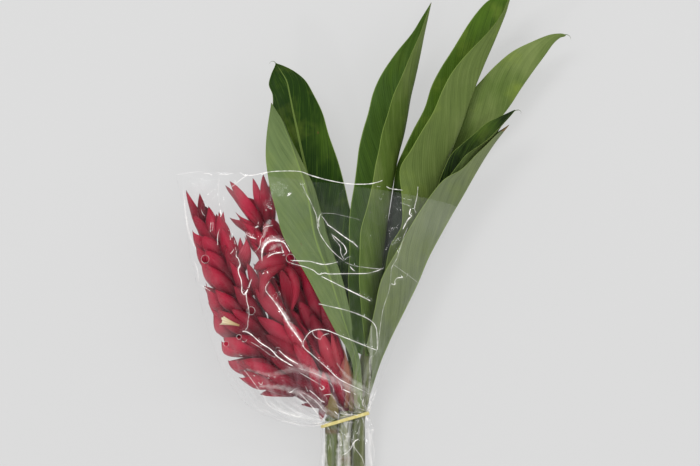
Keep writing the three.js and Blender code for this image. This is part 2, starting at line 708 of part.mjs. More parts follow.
// Stations from the rim to the sleeve's lower end. Each gives the left edge (x, y, z), the right
// edge (x, y, z), the height of the top and of the underside, and the squareness of the section.
// An underside below 0 is where the film lies flat on the surface.
const sleeveStations = [
  [-168, 245, 42, 113, 211, 46, 89, -6, 2.3],
  [-162, 210, 42, 104, 193, 44, 92, -6, 2.3],
  [-155, 170, 42, 91, 168, 44, 94, -6, 2.3],
  [-148.5, 140, 42, 79, 144, 44, 94, -6, 2.3],
  [-142, 112, 42, 66, 116, 44, 94, -6, 2.3],
  [-134.5, 82, 42, 54, 88, 44, 93, -6, 2.3],
  [-126, 56, 41, 43.5, 64, 44, 93, -6, 2.3],
  [-114, 34, 40, 37, 48, 42, 90, -4, 2.3],
  [-97, 14, 38, 32, 35, 39, 80, 2, 2.3],
  [-69, 1, 37, 28, 25, 37, 70, 10, 2.4],
  [-41, -5, 36, 25, 15, 35, 55, 19, 3],
  [-22.4, -3.3, 34, 22.8, 9.9, 34, 41.9, 26.1, 6],
  [-22.4, -6.6, 34, 22.4, 6.6, 34, 41.9, 26.1, 6],
  [-22.4, -9.9, 34, 22.4, 3.3, 34, 41.9, 26.1, 6],
  [-22.6, -18, 34, 24, -8, 34, 43, 24, 3.5],
  [-23.5, -34, 33, 27.5, -28, 33, 46, 19, 2.6],
  [-25.5, -62, 31, 30.5, -60, 31, 46, 13, 2.4],
  [-29, -102, 28, 34, -102, 28, 44, 6, 2.3],
  [-33, -142, 24, 38, -142, 24, 42, 1, 2.2],
];
const sleeveSides = 26;
const tieStation = 12; // where the band holds the film
const mouthTop = 10; // how far the front of the rim stands past the line between its corners

// One point of the sleeve's outer face. u runs from the rim to the lower end, turn from 0 to 1
// round the section, from the left edge over the top to the right edge and back below.
function sleevePoint(u, turn) {
  const [lx, ly, lz, rx, ry, rz, top, under, square] = splineAt(sleeveStations, u);
  const angle = 2 * Math.PI * turn;
  const rise = Math.sin(angle);
  const aside = Math.cos(angle);
  const share = 0.5 - 0.5 * Math.sign(aside) * Math.pow(Math.abs(aside), 2 / square);
  const edge = mix(lz, rz, share);
  const reach = Math.pow(Math.abs(rise), 2 / square);
  const z = rise > 0 ? mix(edge, top, reach) : mix(edge, under, reach);
  const mouth = Math.max(0, 1 - u * 6) * Math.max(rise, 0) * mouthTop;
  return vec(mix(lx, rx, share), mix(ly, ry, share) + mouth, Math.max(z, 0));
}

function sleeveSolid() {
  const outer = sleeveStations.map((_, i) => {
    const u = i / (sleeveStations.length - 1);
    return Array.from({ length: sleeveSides }, (_, k) => sleevePoint(u, k / sleeveSides));
  });
  const inner = outer.map((ring, r) =>
    ring.map((p, k) => {
      const next = ring[(k + 1) % sleeveSides];
      const before = ring[(k + sleeveSides - 1) % sleeveSides];
      const across = next.clone().sub(before);
      const along = (outer[r + 1] ?? ring)[k].clone().sub((outer[r - 1] ?? ring)[k]);
      return p.clone().addScaledVector(across.cross(along).normalize(), filmThickness);
    }),
  );
  return loft([...inner, ...outer.reverse()], true);
}

// The rubber band, a closed loop that lies on the film.
function bandSolid() {
  const profile = [
    [0.5, 0],
    [0.3, -0.5],
    [-0.3, -0.5],
    [-0.5, 0],
    [-0.3, 0.5],
    [0.3, 0.5],
  ];
  const u = tieStation / (sleeveStations.length - 1);
  const rings = Array.from({ length: sleeveSides }, (_, k) => {
    const at = (step) => sleevePoint(u, (k + step) / sleeveSides);
    const round = at(1).sub(at(-1));
    const out = round.cross(vec(0, 1, 0)).normalize();
    return profile.map(([outShare, alongShare]) =>
      at(0)
        .addScaledVector(out, gap + (0.5 + outShare) * bandThickness)
        .add(vec(0, alongShare * bandWidth, 0)),
    );
  });
  return loft(rings, true);
}

// ---------------------------------------------------------------- withered flower

// A dried tubular flower that lies on the bracts, its mouth a little open.
function floretSolid() {
  const base = vec(-105, 95, 68.6);
  const mouth = vec(-122, 100, 69.3);
  const along = mouth.clone().sub(base).normalize();
  const stages = [
    [0, 1],
    [0.3, 1.4],
    [0.6, 2.2],
    [0.85, 3.4],
    [1, 4.2],
  ];
  const rings = stages.map(([share, radius]) => {
    const ring = ringAround(base.clone().lerp(mouth, share), along, radius, 8);
    return ring.map((p) => vec(p.x, p.y, mix(base.z, p.z, 0.4)));
  });
  return loft(rings);
}

// ---------------------------------------------------------------- the bunch

// The stem's last ring, which a head's foot stands on.
const headFoot = (head) => [{ ...axisFrame(head.axis, 0), radius: head.core[0][0] }];
const shootEnd = [
  [25, stemRadius],
  [50, stemRadius],
  [shootTop - 6, stemRadius - 0.6],
  [shootTop, 3.5],
].map(([y, radius]) => ({ centre: shootAt(y), along: vec(0.13, 1, 0.12).normalize(), radius }));

const stems = {
  stem_1: { x: -stemPitch, spread: -9, cut: 0, top: headFoot(headOne), shade: 11 },
  stem_2: { x: 0, spread: 2, cut: 7, top: headFoot(headTwo), shade: 40 },
  leafy_stem: { x: stemPitch, spread: 8, cut: 3, top: shootEnd, shade: 64 },
};
for (const [name, cane] of Object.entries(stems)) {
  addPiece(name, stem(cane), stemGreen);
}
addPiece("head_1", flowerHead(headOne), crimson);
addPiece("head_2", flowerHead(headTwo), crimson);
for (const [name, leaf] of Object.entries(leaves)) {
  const grid = bladeGrid(leaf, Math.round(1.6 * leaf.rows.length));
  addPiece(name, bladeSolid(grid, leaf.tip, leaf.ribSide), leafGreen);
}
addPiece("floret", floretSolid(), dryCream);
addPiece("sleeve", sleeveSolid(), clearFilm);
addPiece("rubber_band", bandSolid(), paleYellow);

const box = new THREE.Box3().setFromObject(bunch, true);
bunch.position.set(-(box.min.x + box.max.x) / 2, -(box.min.y + box.max.y) / 2, -box.min.z);

export default bunch;
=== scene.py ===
# Red ginger: two flower heads and a leafy shoot, tied and lying in a clear film sleeve.
import bpy
import json
import math
import numpy as np
from mathutils import Matrix, Vector, noise
from mathutils.kdtree import KDTree

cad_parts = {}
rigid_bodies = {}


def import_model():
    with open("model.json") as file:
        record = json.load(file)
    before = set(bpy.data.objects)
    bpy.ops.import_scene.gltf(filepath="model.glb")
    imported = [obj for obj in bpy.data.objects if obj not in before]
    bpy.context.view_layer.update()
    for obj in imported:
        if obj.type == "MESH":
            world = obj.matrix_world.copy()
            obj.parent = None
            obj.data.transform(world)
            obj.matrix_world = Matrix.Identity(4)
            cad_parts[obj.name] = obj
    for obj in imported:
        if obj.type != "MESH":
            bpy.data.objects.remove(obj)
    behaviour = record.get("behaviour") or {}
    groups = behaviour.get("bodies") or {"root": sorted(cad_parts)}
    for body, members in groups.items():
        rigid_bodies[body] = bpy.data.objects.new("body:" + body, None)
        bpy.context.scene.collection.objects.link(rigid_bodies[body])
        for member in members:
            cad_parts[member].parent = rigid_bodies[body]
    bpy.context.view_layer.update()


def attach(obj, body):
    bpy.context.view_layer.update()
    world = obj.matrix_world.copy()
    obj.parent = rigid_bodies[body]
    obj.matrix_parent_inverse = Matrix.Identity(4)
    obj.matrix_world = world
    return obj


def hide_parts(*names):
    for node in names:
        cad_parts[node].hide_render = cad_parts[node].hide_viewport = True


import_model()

# ---- helpers; all sizes are in millimetres from the tie until place() turns them to metres

mm = 0.001
tieSpot = Vector((-29.0, 194.5, 0.0))  # the tie's place in the frame
skyward = Vector((0, 0, 1))


def place(p):
    return (Vector(p) + tieSpot) * mm


def draw(i, k):  # a fixed number from 0 to 1 for two whole numbers
    v = math.sin(i * 12.9898 + k * 78.233) * 43758.5453
    return v - math.floor(v)


def mix(a, b, t):
    return a + (b - a) * t


def clamp(v, low=0.0, high=1.0):
    return min(max(v, low), high)


def splineAt(rows, u):  # uniform Catmull-Rom through rows of numbers, u from 0 to 1
    last = len(rows) - 1
    i = min(int(math.floor(u * last)), last - 1)
    t = u * last - i
    p, q, r, s = (rows[min(max(j, 0), last)] for j in (i - 1, i, i + 1, i + 2))
    out = []
    for a, b, c, d in zip(p, q, r, s):
        out.append(b + 0.5 * t * (c - a + t * (2 * a - 5 * b + 4 * c - d + t * (3 * (b - c) + d - a))))
    return out


def gridFaces(rows, columns, start=0, wrap=False, turned=False):
    faces = []
    for r in range(rows - 1):
        for c in range(columns if wrap else columns - 1):
            a, b = start + r * columns + c, start + r * columns + (c + 1) % columns
            quad = (a, b, b + columns, a + columns)
            faces.append(quad[::-1] if turned else quad)
    return faces


def shellPlaces(rows, columns):  # layer 0 or 1, from 0 to 1 along, from -1 to 1 across
    for layer in (0, 1):
        for r in range(rows):
            for c in range(columns):
                yield layer, r / (rows - 1), 2 * c / (columns - 1) - 1


def shellFaces(rows, columns):  # an upper and a lower grid closed by a rim
    lower = rows * columns
    faces = gridFaces(rows, columns) + gridFaces(rows, columns, lower, turned=True)
    for r in range(rows - 1):
        a, b = r * columns, (r + 1) * columns
        faces.append((a, b, b + lower, a + lower))
        a, b = a + columns - 1, b + columns - 1
        faces.append((b, a, a + lower, b + lower))
    for c in range(columns - 1):
        faces.append((c + 1, c, c + lower, c + 1 + lower))
        a = (rows - 1) * columns + c
        faces.append((a, a + 1, a + 1 + lower, a + lower))
    return faces


def writeMarks(mesh, marks, kind="FLOAT"):  # named values that the points carry
    for label, values in marks.items():
        attribute = mesh.attributes.new(label, kind, "POINT")
        attribute.data.foreach_set("vector" if kind == "FLOAT_VECTOR" else "value", values)


def newObject(name, data):
    made = bpy.data.objects.new(name, data)
    bpy.context.scene.collection.objects.link(made)
    return made


def newPiece(name, points, faces, material=None, marks=None):
    mesh = bpy.data.meshes.new(name)
    mesh.from_pydata([place(p) for p in points], [], faces)
    writeMarks(mesh, marks or {})
    mesh.shade_smooth()
    if material:
        mesh.materials.append(material)
    return newObject(name, mesh)


def standFor(piece, slot, *nodes):
    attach(piece, "root")
    if nodes:
        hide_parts(*nodes)


# ---- node helpers

def addNode(tree, kind, inputs=None, **settings):  # each input is another node's output or a value
    node = tree.nodes.new(kind)
    for key, value in settings.items():
        setattr(node, key, value)
    for key, value in (inputs or {}).items():
        feed(tree, node.inputs[key], value)
    return node


def feed(tree, socket, value):
    if isinstance(value, bpy.types.NodeSocket):
        tree.links.new(value, socket)
    else:
        socket.default_value = value


def addOut(tree, kind, inputs=None, **settings):  # the first output of a new node
    return addNode(tree, kind, inputs, **settings).outputs[0]


def calc(tree, operation, a, b=0.0, clampIt=False):
    return addOut(tree, "ShaderNodeMath", {0: a, 1: b}, operation=operation, use_clamp=clampIt)


def times(tree, a, b):
    return calc(tree, "MULTIPLY", a, b)


def plus(tree, a, b, clampIt=False):
    return calc(tree, "ADD", a, b, clampIt)


def mark(tree, label):  # a named value that the mesh carries
    node = addNode(tree, "ShaderNodeAttribute", attribute_name=label, attribute_type="GEOMETRY")
    return node.outputs["Fac"]


def blendColor(tree, share, a, b):
    return addNode(tree, "ShaderNodeMix", {0: share, 6: a, 7: b}, data_type="RGBA").outputs[2]


def srgb(r, g, b):  # screen values 0 to 255 to the linear color that nodes take
    def linear(v):
        v = v / 255
        return v / 12.92 if v <= 0.04045 else ((v + 0.055) / 1.055) ** 2.4
    return (linear(r), linear(g), linear(b), 1.0)


def coated(tree, color, coats):  # each coat is the share of it that shows, and a socket or a screen color
    for share, coat in coats:
        color = blendColor(tree, share, color, srgb(*coat) if isinstance(coat, tuple) else coat)
    return color


def ramp(tree, share, stops):  # each stop is its place and a screen color
    node = addNode(tree, "ShaderNodeValToRGB", {"Fac": share})
    elements = node.color_ramp.elements
    while len(elements) < len(stops):
        elements.new(0.5)
    for element, (position, color) in zip(elements, stops):
        element.position = position
        element.color = srgb(*color)
    return node.outputs["Color"]


def span(tree, value, low, high, toLow=0.0, toHigh=1.0):
    inputs = {"Value": value, "From Min": low, "From Max": high, "To Min": toLow, "To Max": toHigh}
    return addOut(tree, "ShaderNodeMapRange", inputs, clamp=True)


def objectNoise(tree, scale, detail=3.0, stretch=(1, 1, 1), roughness=0.5):
    where = addNode(tree, "ShaderNodeTexCoord").outputs["Object"]
    where = addOut(tree, "ShaderNodeMapping", {"Vector": where, "Scale": stretch})
    return addOut(tree, "ShaderNodeTexNoise", {
        "Vector": where, "Scale": scale, "Detail": detail, "Roughness": roughness,
    })


def flatNoise(tree, x, y, detail, roughness=0.5):  # noise over two values
    where = addOut(tree, "ShaderNodeCombineXYZ", {0: x, 1: y})
    return addOut(tree, "ShaderNodeTexNoise", {
        "Vector": where, "Scale": 1.0, "Detail": detail, "Roughness": roughness,
    })


def newMaterial(name):
    material = bpy.data.materials.new(name)
    material.use_nodes = True
    tree = material.node_tree
    return material, tree, tree.nodes["Principled BSDF"]


def clearMaterial(name):
    material, tree = newMaterial(name)[:2]
    tree.nodes.clear()
    return material, tree


def endClear(tree, surface, clear):  # it casts no shade and lets diffuse light through
    ray = addNode(tree, "ShaderNodeLightPath").outputs
    passing = calc(tree, "MAXIMUM", ray["Is Shadow Ray"], ray["Is Diffuse Ray"])
    whole = addOut(tree, "ShaderNodeMixShader", {0: passing, 1: surface, 2: clear})
    addNode(tree, "ShaderNodeOutputMaterial", {"Surface": whole})


def dress(tree, skin, color, roughness, height, distance, strength):
    feed(tree, skin.inputs["Base Color"], color)
    feed(tree, skin.inputs["Roughness"], roughness)
    bump = addNode(tree, "ShaderNodeBump", {"Height": height, "Distance": distance, "Strength": strength})
    tree.links.new(bump.outputs["Normal"], skin.inputs["Normal"])


def newTree(name, sockets):
    tree = bpy.data.node_groups.new(name, "GeometryNodeTree")
    tree.interface.new_socket("Geometry", in_out="INPUT", socket_type="NodeSocketGeometry")
    for label, kind in sockets:
        tree.interface.new_socket(label, in_out="INPUT", socket_type="NodeSocket" + kind)
    tree.interface.new_socket("Geometry", in_out="OUTPUT", socket_type="NodeSocketGeometry")
    return tree, tree.nodes.new("NodeGroupInput").outputs, tree.nodes.new("NodeGroupOutput").inputs


def sweep(tree, given, result, curves):  # the end of a tree: a profile swept along its lines
    swept = addOut(tree, "GeometryNodeCurveToMesh", curves)
    real = addOut(tree, "GeometryNodeRealizeInstances", {"Geometry": swept})
    smooth = addOut(tree, "GeometryNodeSetShadeSmooth", {"Geometry": real})
    skinned = addOut(tree, "GeometryNodeSetMaterial", {"Geometry": smooth, "Material": given["Skin"]})
    tree.links.new(skinned, result["Geometry"])


def runTree(source, tree, values, name):  # the tree's result as a plain mesh piece
    modifier = source.modifiers.new(tree.name, "NODES")
    modifier.node_group = tree
    for item in tree.interface.items_tree:
        if item.in_out == "INPUT" and item.name in values:
            modifier[item.identifier] = values[item.name]
    bpy.context.view_layer.update()
    graph = bpy.context.evaluated_depsgraph_get()
    made = source.evaluated_get(graph)
    mesh = bpy.data.meshes.new_from_object(made, preserve_all_data_layers=True, depsgraph=graph)
    source.modifiers.remove(modifier)
    bpy.data.objects.remove(source)
    mesh.name = name
    return newObject(name, mesh)


# ---- camera, floor and lights

view = {"centre": (5, 187), "wide": 700, "away": 4600, "focusHeight": 45, "sensor": 36, "clip": (0.1, 50)}
camera = bpy.data.cameras.new("camera")
camera.sensor_width = view["sensor"]
camera.lens = view["sensor"] * (view["away"] - view["focusHeight"]) / view["wide"]
camera.clip_start, camera.clip_end = view["clip"]
cameraObject = newObject("camera", camera)
cameraObject.location = place((*view["centre"], view["away"]))
bpy.context.scene.camera = cameraObject
bpy.context.scene.view_settings.view_transform = "Standard"

floorLook = {
    "colors": (srgb(130, 130, 130), srgb(127, 127, 127)), "grain": 3.0, "roughness": 0.9, "specular": 0.1,
    "glow": 0.485, "half": 12000, "under": -0.5,
}
floorMaterial, tree, skin = newMaterial("paleFloor")
paper = blendColor(tree, objectNoise(tree, floorLook["grain"]), *floorLook["colors"])
for label, value in (("Base Color", paper), ("Roughness", floorLook["roughness"]),
                     ("Specular IOR Level", floorLook["specular"]), ("Emission Color", (1, 1, 1, 1)),
                     ("Emission Strength", floorLook["glow"])):
    feed(tree, skin.inputs[label], value)
corners = [(x * floorLook["half"], y * floorLook["half"], floorLook["under"])
           for x, y in ((-1, -1), (1, -1), (1, 1), (-1, 1))]
floor = newPiece("floor", corners, [(0, 1, 2, 3)], floorMaterial)

roomLook = {"Color": (1.0, 1.0, 1.0, 1), "Strength": 0.66}
world = bpy.data.worlds.new("softRoom")
world.use_nodes = True
for label, value in roomLook.items():
    world.node_tree.nodes["Background"].inputs[label].default_value = value
bpy.context.scene.world = world

lampTarget = Vector((-0.05, 0.35, 0.05))
lamps = {  # place and size in metres, power in watts
    "windowLeft": {"at": (-0.95, 1.65, 2.4), "size": (1.1, 0.7), "power": 20},
    "stripRight": {"at": (1.7, 0.6, 1.5), "size": (0.12, 1.6), "power": 7},
    "stripTop": {"at": (0.2, 2.1, 1.6), "size": (1.6, 0.12), "power": 6},
    "lampLow": {"at": (-0.9, -1.2, 1.9), "size": (0.35, 0.35), "power": 6},
}
for name, lamp in lamps.items():
    light = bpy.data.lights.new(name, "AREA")
    light.shape = "RECTANGLE"
    light.size, light.size_y = lamp["size"]
    light.energy = lamp["power"]
    lightObject = newObject(name, light)
    lightObject.location = lamp["at"]
    lightObject.rotation_euler = (lampTarget - Vector(lamp["at"])).to_track_quat("-Z", "Y").to_euler()
    lightObject.visible_camera = False
print("camera, floor and lights")

# ---- canes

caneLook = {
    "radius": 6.8, "tieHeight": 34, "length": 821, "scarEvery": 92, "sides": 28, "steps": 210,
    "swell": 0.35, "slim": 0.3, "outOfRound": 0.012, "dish": 0.82, "sway": 1.5,
    "swellSharp": 12, "ringSharp": 400, "scarSharp": 260,  # the more, the narrower
}
canes = {  # x at the tie, how far the cut end is aside, how much is cut off, where the scars start
    "cane_left": {"x": -13.3, "spread": -9, "cut": 0, "shift": 11, "node": "stem_1", "tone": 0.8},
    "cane_middle": {"x": 0, "spread": 2, "cut": 7, "shift": 40, "node": "stem_2", "tone": 0.3},
    "cane_leafy": {"x": 13.3, "spread": 8, "cut": 3, "shift": 64, "node": "leafy_stem", "tone": 0.12},
}


def shootAt(y):  # the leafy cane above the tie
    return Vector((13.7 + 0.13 * y, y, 34 + 0.12 * y))


def axisFrame(axis, t):
    centre = Vector(splineAt(axis, t))
    along = Vector(splineAt(axis, min(t + 0.02, 1))) - Vector(splineAt(axis, max(t - 0.02, 0)))
    along.normalize()
    across = along.cross(skyward).normalized()
    return centre, along, across, across.cross(along)


def caneMaterial():
    material, tree, skin = newMaterial("caneSkin")
    streaks = objectNoise(tree, 60, 4, (3.5, 0.12, 3.5), 0.6)
    patches = objectNoise(tree, 16, 3, (1, 0.35, 1))
    green = ramp(tree, streaks, [(0.25, (46, 58, 16)), (0.5, (78, 92, 34)), (0.75, (116, 126, 62))])
    brown = ramp(tree, streaks, [(0.3, (70, 46, 26)), (0.7, (134, 100, 62))])
    color = coated(tree, green, [
        (times(tree, span(tree, patches, 0.46, 0.62), mark(tree, "tone")), brown),
        (mark(tree, "scar"), (98, 72, 44)),
        (mark(tree, "cutEnd"), (196, 190, 140)),
    ])
    dress(tree, skin, color, 0.42, streaks, 0.0005, 0.5)
    return material


def caneRings(cane):  # centre, direction, radius and scar, from the cut end up to the tie
    look = caneLook
    rings = []
    for i in range(look["steps"] + 1):
        y = mix(cane["cut"] - look["length"], 0, i / look["steps"])
        share = min(-y / look["length"], 1)
        peak = abs(math.cos(math.pi * (y + cane["shift"]) / look["scarEvery"]))
        swollen = (look["swell"] * peak ** look["swellSharp"] - look["slim"]) if share > 0.1 else 0
        radius = look["radius"] - 0.1 + swollen
        radius += look["swell"] * peak ** look["ringSharp"] if share > 0.05 else 0
        bend = cane["spread"] * share * min(1, share * 6)
        bend += look["sway"] * math.sin(share * 9 + cane["shift"]) * min(1, share * 2)
        height = mix(radius, look["tieHeight"], (1 - share) ** 1.5)
        centre, scar = Vector((cane["x"] + bend, y, height)), peak ** look["scarSharp"]
        rings.append((centre, Vector((0, 1, 0)), radius, scar))
    return rings


def makeCane(name, top, material):  # top holds the rings above the tie
    look, cane = caneLook, canes[name]
    sides = look["sides"]
    rings = caneRings(cane) + [(*ring, 0) for ring in top]
    points, marks = [], {"scar": [], "tone": [], "cutEnd": []}
    for n, (centre, along, radius, scar) in enumerate(rings):
        across = skyward.cross(along).normalized()
        up = along.cross(across)
        for k in range(sides):
            angle = 2 * math.pi * k / sides
            rib = 1 + look["outOfRound"] * math.sin(5 * angle + cane["shift"])
            points.append(centre - radius * rib * (across * math.cos(angle) + up * math.sin(angle)))
        marks["scar"] += [scar] * sides
        marks["cutEnd"] += [1.0 if n == 0 else 0.0] * sides
    marks["tone"] = [cane["tone"]] * len(points)
    faces = gridFaces(len(rings), sides, wrap=True)
    # a dished cut end and a closed top
    for ring, inset, middle, cut in ((0, 0.3, 0.9, 1), (len(rings) - 1, 0.2, 0.3, 0)):
        centre, start = rings[ring][0], len(points)
        for k in range(sides):
            points.append(centre.lerp(points[ring * sides + k], look["dish"]) + Vector((0, inset, 0)))
        points.append(centre + Vector((0, middle, 0)))
        for label, value in (("scar", 0), ("tone", cane["tone"]), ("cutEnd", cut)):
            marks[label] += [value] * (sides + 1)
        for k in range(sides):
            a, b = ring * sides + k, ring * sides + (k + 1) % sides
            c, d, e = start + k, start + (k + 1) % sides, start + sides
            faces += [(b, a, c, d), (d, c, e)] if cut else [(a, b, d, c), (c, d, e)]
    standFor(newPiece(name, points, faces, material, marks), "cane", cane["node"])


# ---- flower heads

bractLook = {
    "length": 50, "width": 23, "rows": 15, "columns": 9, "crinkle": 0.0022, "shadeDepth": 13,
    "pressed": 0.55,  # how much the bracts above and below lie down
    "softness": 5,  # within this distance of a plane they give way
    "margin": 3, "shortest": 16, "shorten": 0.92,  # until it clears the planes by the margin
    "highest": 0.3, "leanShake": 10, "onCore": 0.6,  # of the bracts at the sides and below
    "kinds": [  # height of the back, hollow across, how far the tip turns back, bluntness
        (0.34, 0.30, 0.0, 0.95), (0.22, 0.24, 0.16, 0.7), (0.48, 0.34, -0.12, 1.1), (0.28, 0.20, 0.28, 0.8),
    ],
}
frontLook = {  # of the three bracts to a row on top
    "to": 0.86, "ahead": 0.4, "aside": 0.8, "back": 8, "leanShake": 14, "length": (0.95, 0.3, 0.35),
    "rise": (9, 5), "width": (0.6, 0.2), "turned": 0.35,
}
bractMarks = ("reach", "side", "shade", "inner", "depth", "faded")
rachisLook = {"sides": 20, "steps": 40, "lump": 0.08, "tip": 1.2}
goldenAngle = 2.39996  # from one bract to the next
floorPlane = ((0, 0, 1), -2.6)  # a plane is its normal and its offset
leftOfGap = ((-0.76, -0.426, 0.491), -21.2)
rightOfGap = ((0.76, 0.426, -0.491), 20)

# each head: the line and the radius of its rachis, rows of three front bracts with the degrees that each
# leans left, the other bracts in a spiral with their lean and size along the head, the planes that all
# keep inside, and the bracts placed one by one
headLeft = {
    "axis": [
        (-13.7, 9, 35), (-25, 20, 37), (-46, 37, 40), (-70, 62, 43),
        (-95, 100, 45), (-114, 142, 45), (-130, 178, 44), (-146, 212, 43),
    ],
    "core": [(5.4,), (9,), (14,), (17,), (16,), (12,), (7,), (3,)],
    "rows": 9, "start": 0.27, "front": [(22, 20, 18), (38, 34, 28), (34, 28, 14), (24, 16, -4), (16, 8, -12)],
    "bracts": 38, "from": 0.2, "to": 0.92, "phase": 0.4, "seed": 3,
    "lean": [(34,), (40,), (46,), (46,), (38,), (28,), (8,)],
    "size": [(0.8,), (0.92,), (1,), (1,), (0.92,), (0.78,), (0.55,)],
    "planes": [floorPlane, leftOfGap, ((0.972, 0.234, 0), 107), ((0.726, 0.688, 0), 48), ((0, 0, -1), 76),
               ((0.723, 0.174, -0.669), 117)],
    "curled": [],
    "placed": [  # base, tip, the way its back faces, width, and from 0 to 1 how faded, 1 for a green husk
        ((-42, 28, 40), (-85, 26, 35), (0, -0.5, 1), 12),
        ((-22, 18, 38), (-24, -1, 40), (-0.6, 0, 1), 9),
        ((-15, 12, 43), (-22, 50, 60), (0.2, 0, 1), 13),
        ((-19, 16, 45), (-36, 56, 59), (0.1, 0, 1), 13),
        ((-21, 20, 44), (-58, 36, 53), (0, -0.3, 1), 12),
        ((-26, 28, 46), (-66, 58, 58), (0, -0.1, 1), 14),
        ((-27, 31, 46), (-76, 46, 50), (0, -0.6, 1), 13),
        ((-28, 44, 52), (-70, 70, 60), (0, -0.2, 1), 15),
        ((-66, 54, 46), (-114, 59, 44), (-0.2, -0.6, 1), 16),
        ((-82, 66, 52), (-121, 74, 46), (0, -0.5, 1), 13),
        ((-90, 74, 52), (-132, 91, 48), (-0.2, -0.5, 1), 15),
        ((-26, 42, 53), (-52, 78, 62), (0.2, 0, 1), 14),
        ((-36, 58, 55), (-80, 86, 63), (0, 0, 1), 16),
        ((-35, 66, 56), (-63, 104, 65), (0.2, 0, 1), 15),
        ((-46, 74, 57), (-88, 104, 64), (0.1, 0, 1), 16),
        ((-100, 86, 50), (-140, 117, 46), (-0.2, -0.5, 1), 16),
        ((-104, 106, 52), (-143.5, 134, 48), (-0.3, -0.4, 1), 16),
        ((-99, 120, 54), (-142, 152, 50), (-0.3, -0.3, 1), 18),
        ((-58, 96, 57), (-90, 132, 63), (0.2, 0, 1), 15),
        ((-66, 112, 56), (-86, 150, 62), (0.3, 0, 1), 14),
        ((-79, 112, 50), (-98, 158, 54), (0.3, 0.1, 1), 13),
        ((-103, 130, 54), (-146, 180, 53), (-0.3, -0.1, 1), 19),
        ((-114, 146, 52), (-152, 206, 52), (-0.3, -0.1, 1), 18),
        ((-110, 152, 54), (-123, 195, 60), (0.2, 0, 1), 16),
        ((-108, 156, 48), (-112, 184, 50), (0.2, 0, 1), 8),
        ((-102, 150, 46), (-105, 183, 48), (0.3, 0, 1), 9),
        ((-127, 176, 52), (-136.4, 213.5, 57), (0.1, 0, 1), 14),
        ((-125, 178, 48), (-128, 206, 50), (0, 0, 1), 7),
        ((-124, 178, 46), (-121.5, 208.5, 46), (0.3, 0, 1), 7),
        ((-141, 186, 46), (-145, 227, 48), (0, 0, 1), 10),
        ((-139, 177, 46), (-159, 230, 46), (-0.5, 0, 1), 11),
        ((-9, 1, 42), (-13, 28, 53), (0.1, 0, 1), 14, 1),
        ((-9, 4, 38), (-15, 44, 48), (0.2, 0, 1), 13, 0.1),
        ((-16, 5, 41), (-22, 34, 46), (-0.3, 0, 1), 12, 0.95),
        ((-34, 24, 40), (-75, 42, 42), (-0.2, -0.6, 1), 14),
        ((-22, 26, 46), (-62, 45, 56), (0, -0.4, 1), 13),
        ((-17, 18, 44), (-50, 30, 52), (0, -0.5, 1), 12),
        ((-24, 16, 38), (-60, 34, 42), (0, -0.7, 1), 13),
        ((-20, 12, 38), (-44, 16, 40), (0, -1, 0.8), 9),
        ((-24, 24, 42), (-34, 64, 48), (0.4, 0, 1), 15),
        ((-10, 6, 38), (-16, 46, 46), (0.3, 0, 1), 14, 0.2),
        ((-48, 92, 42), (-66, 136, 46), (0.3, 0, 1), 18),
    ],
}
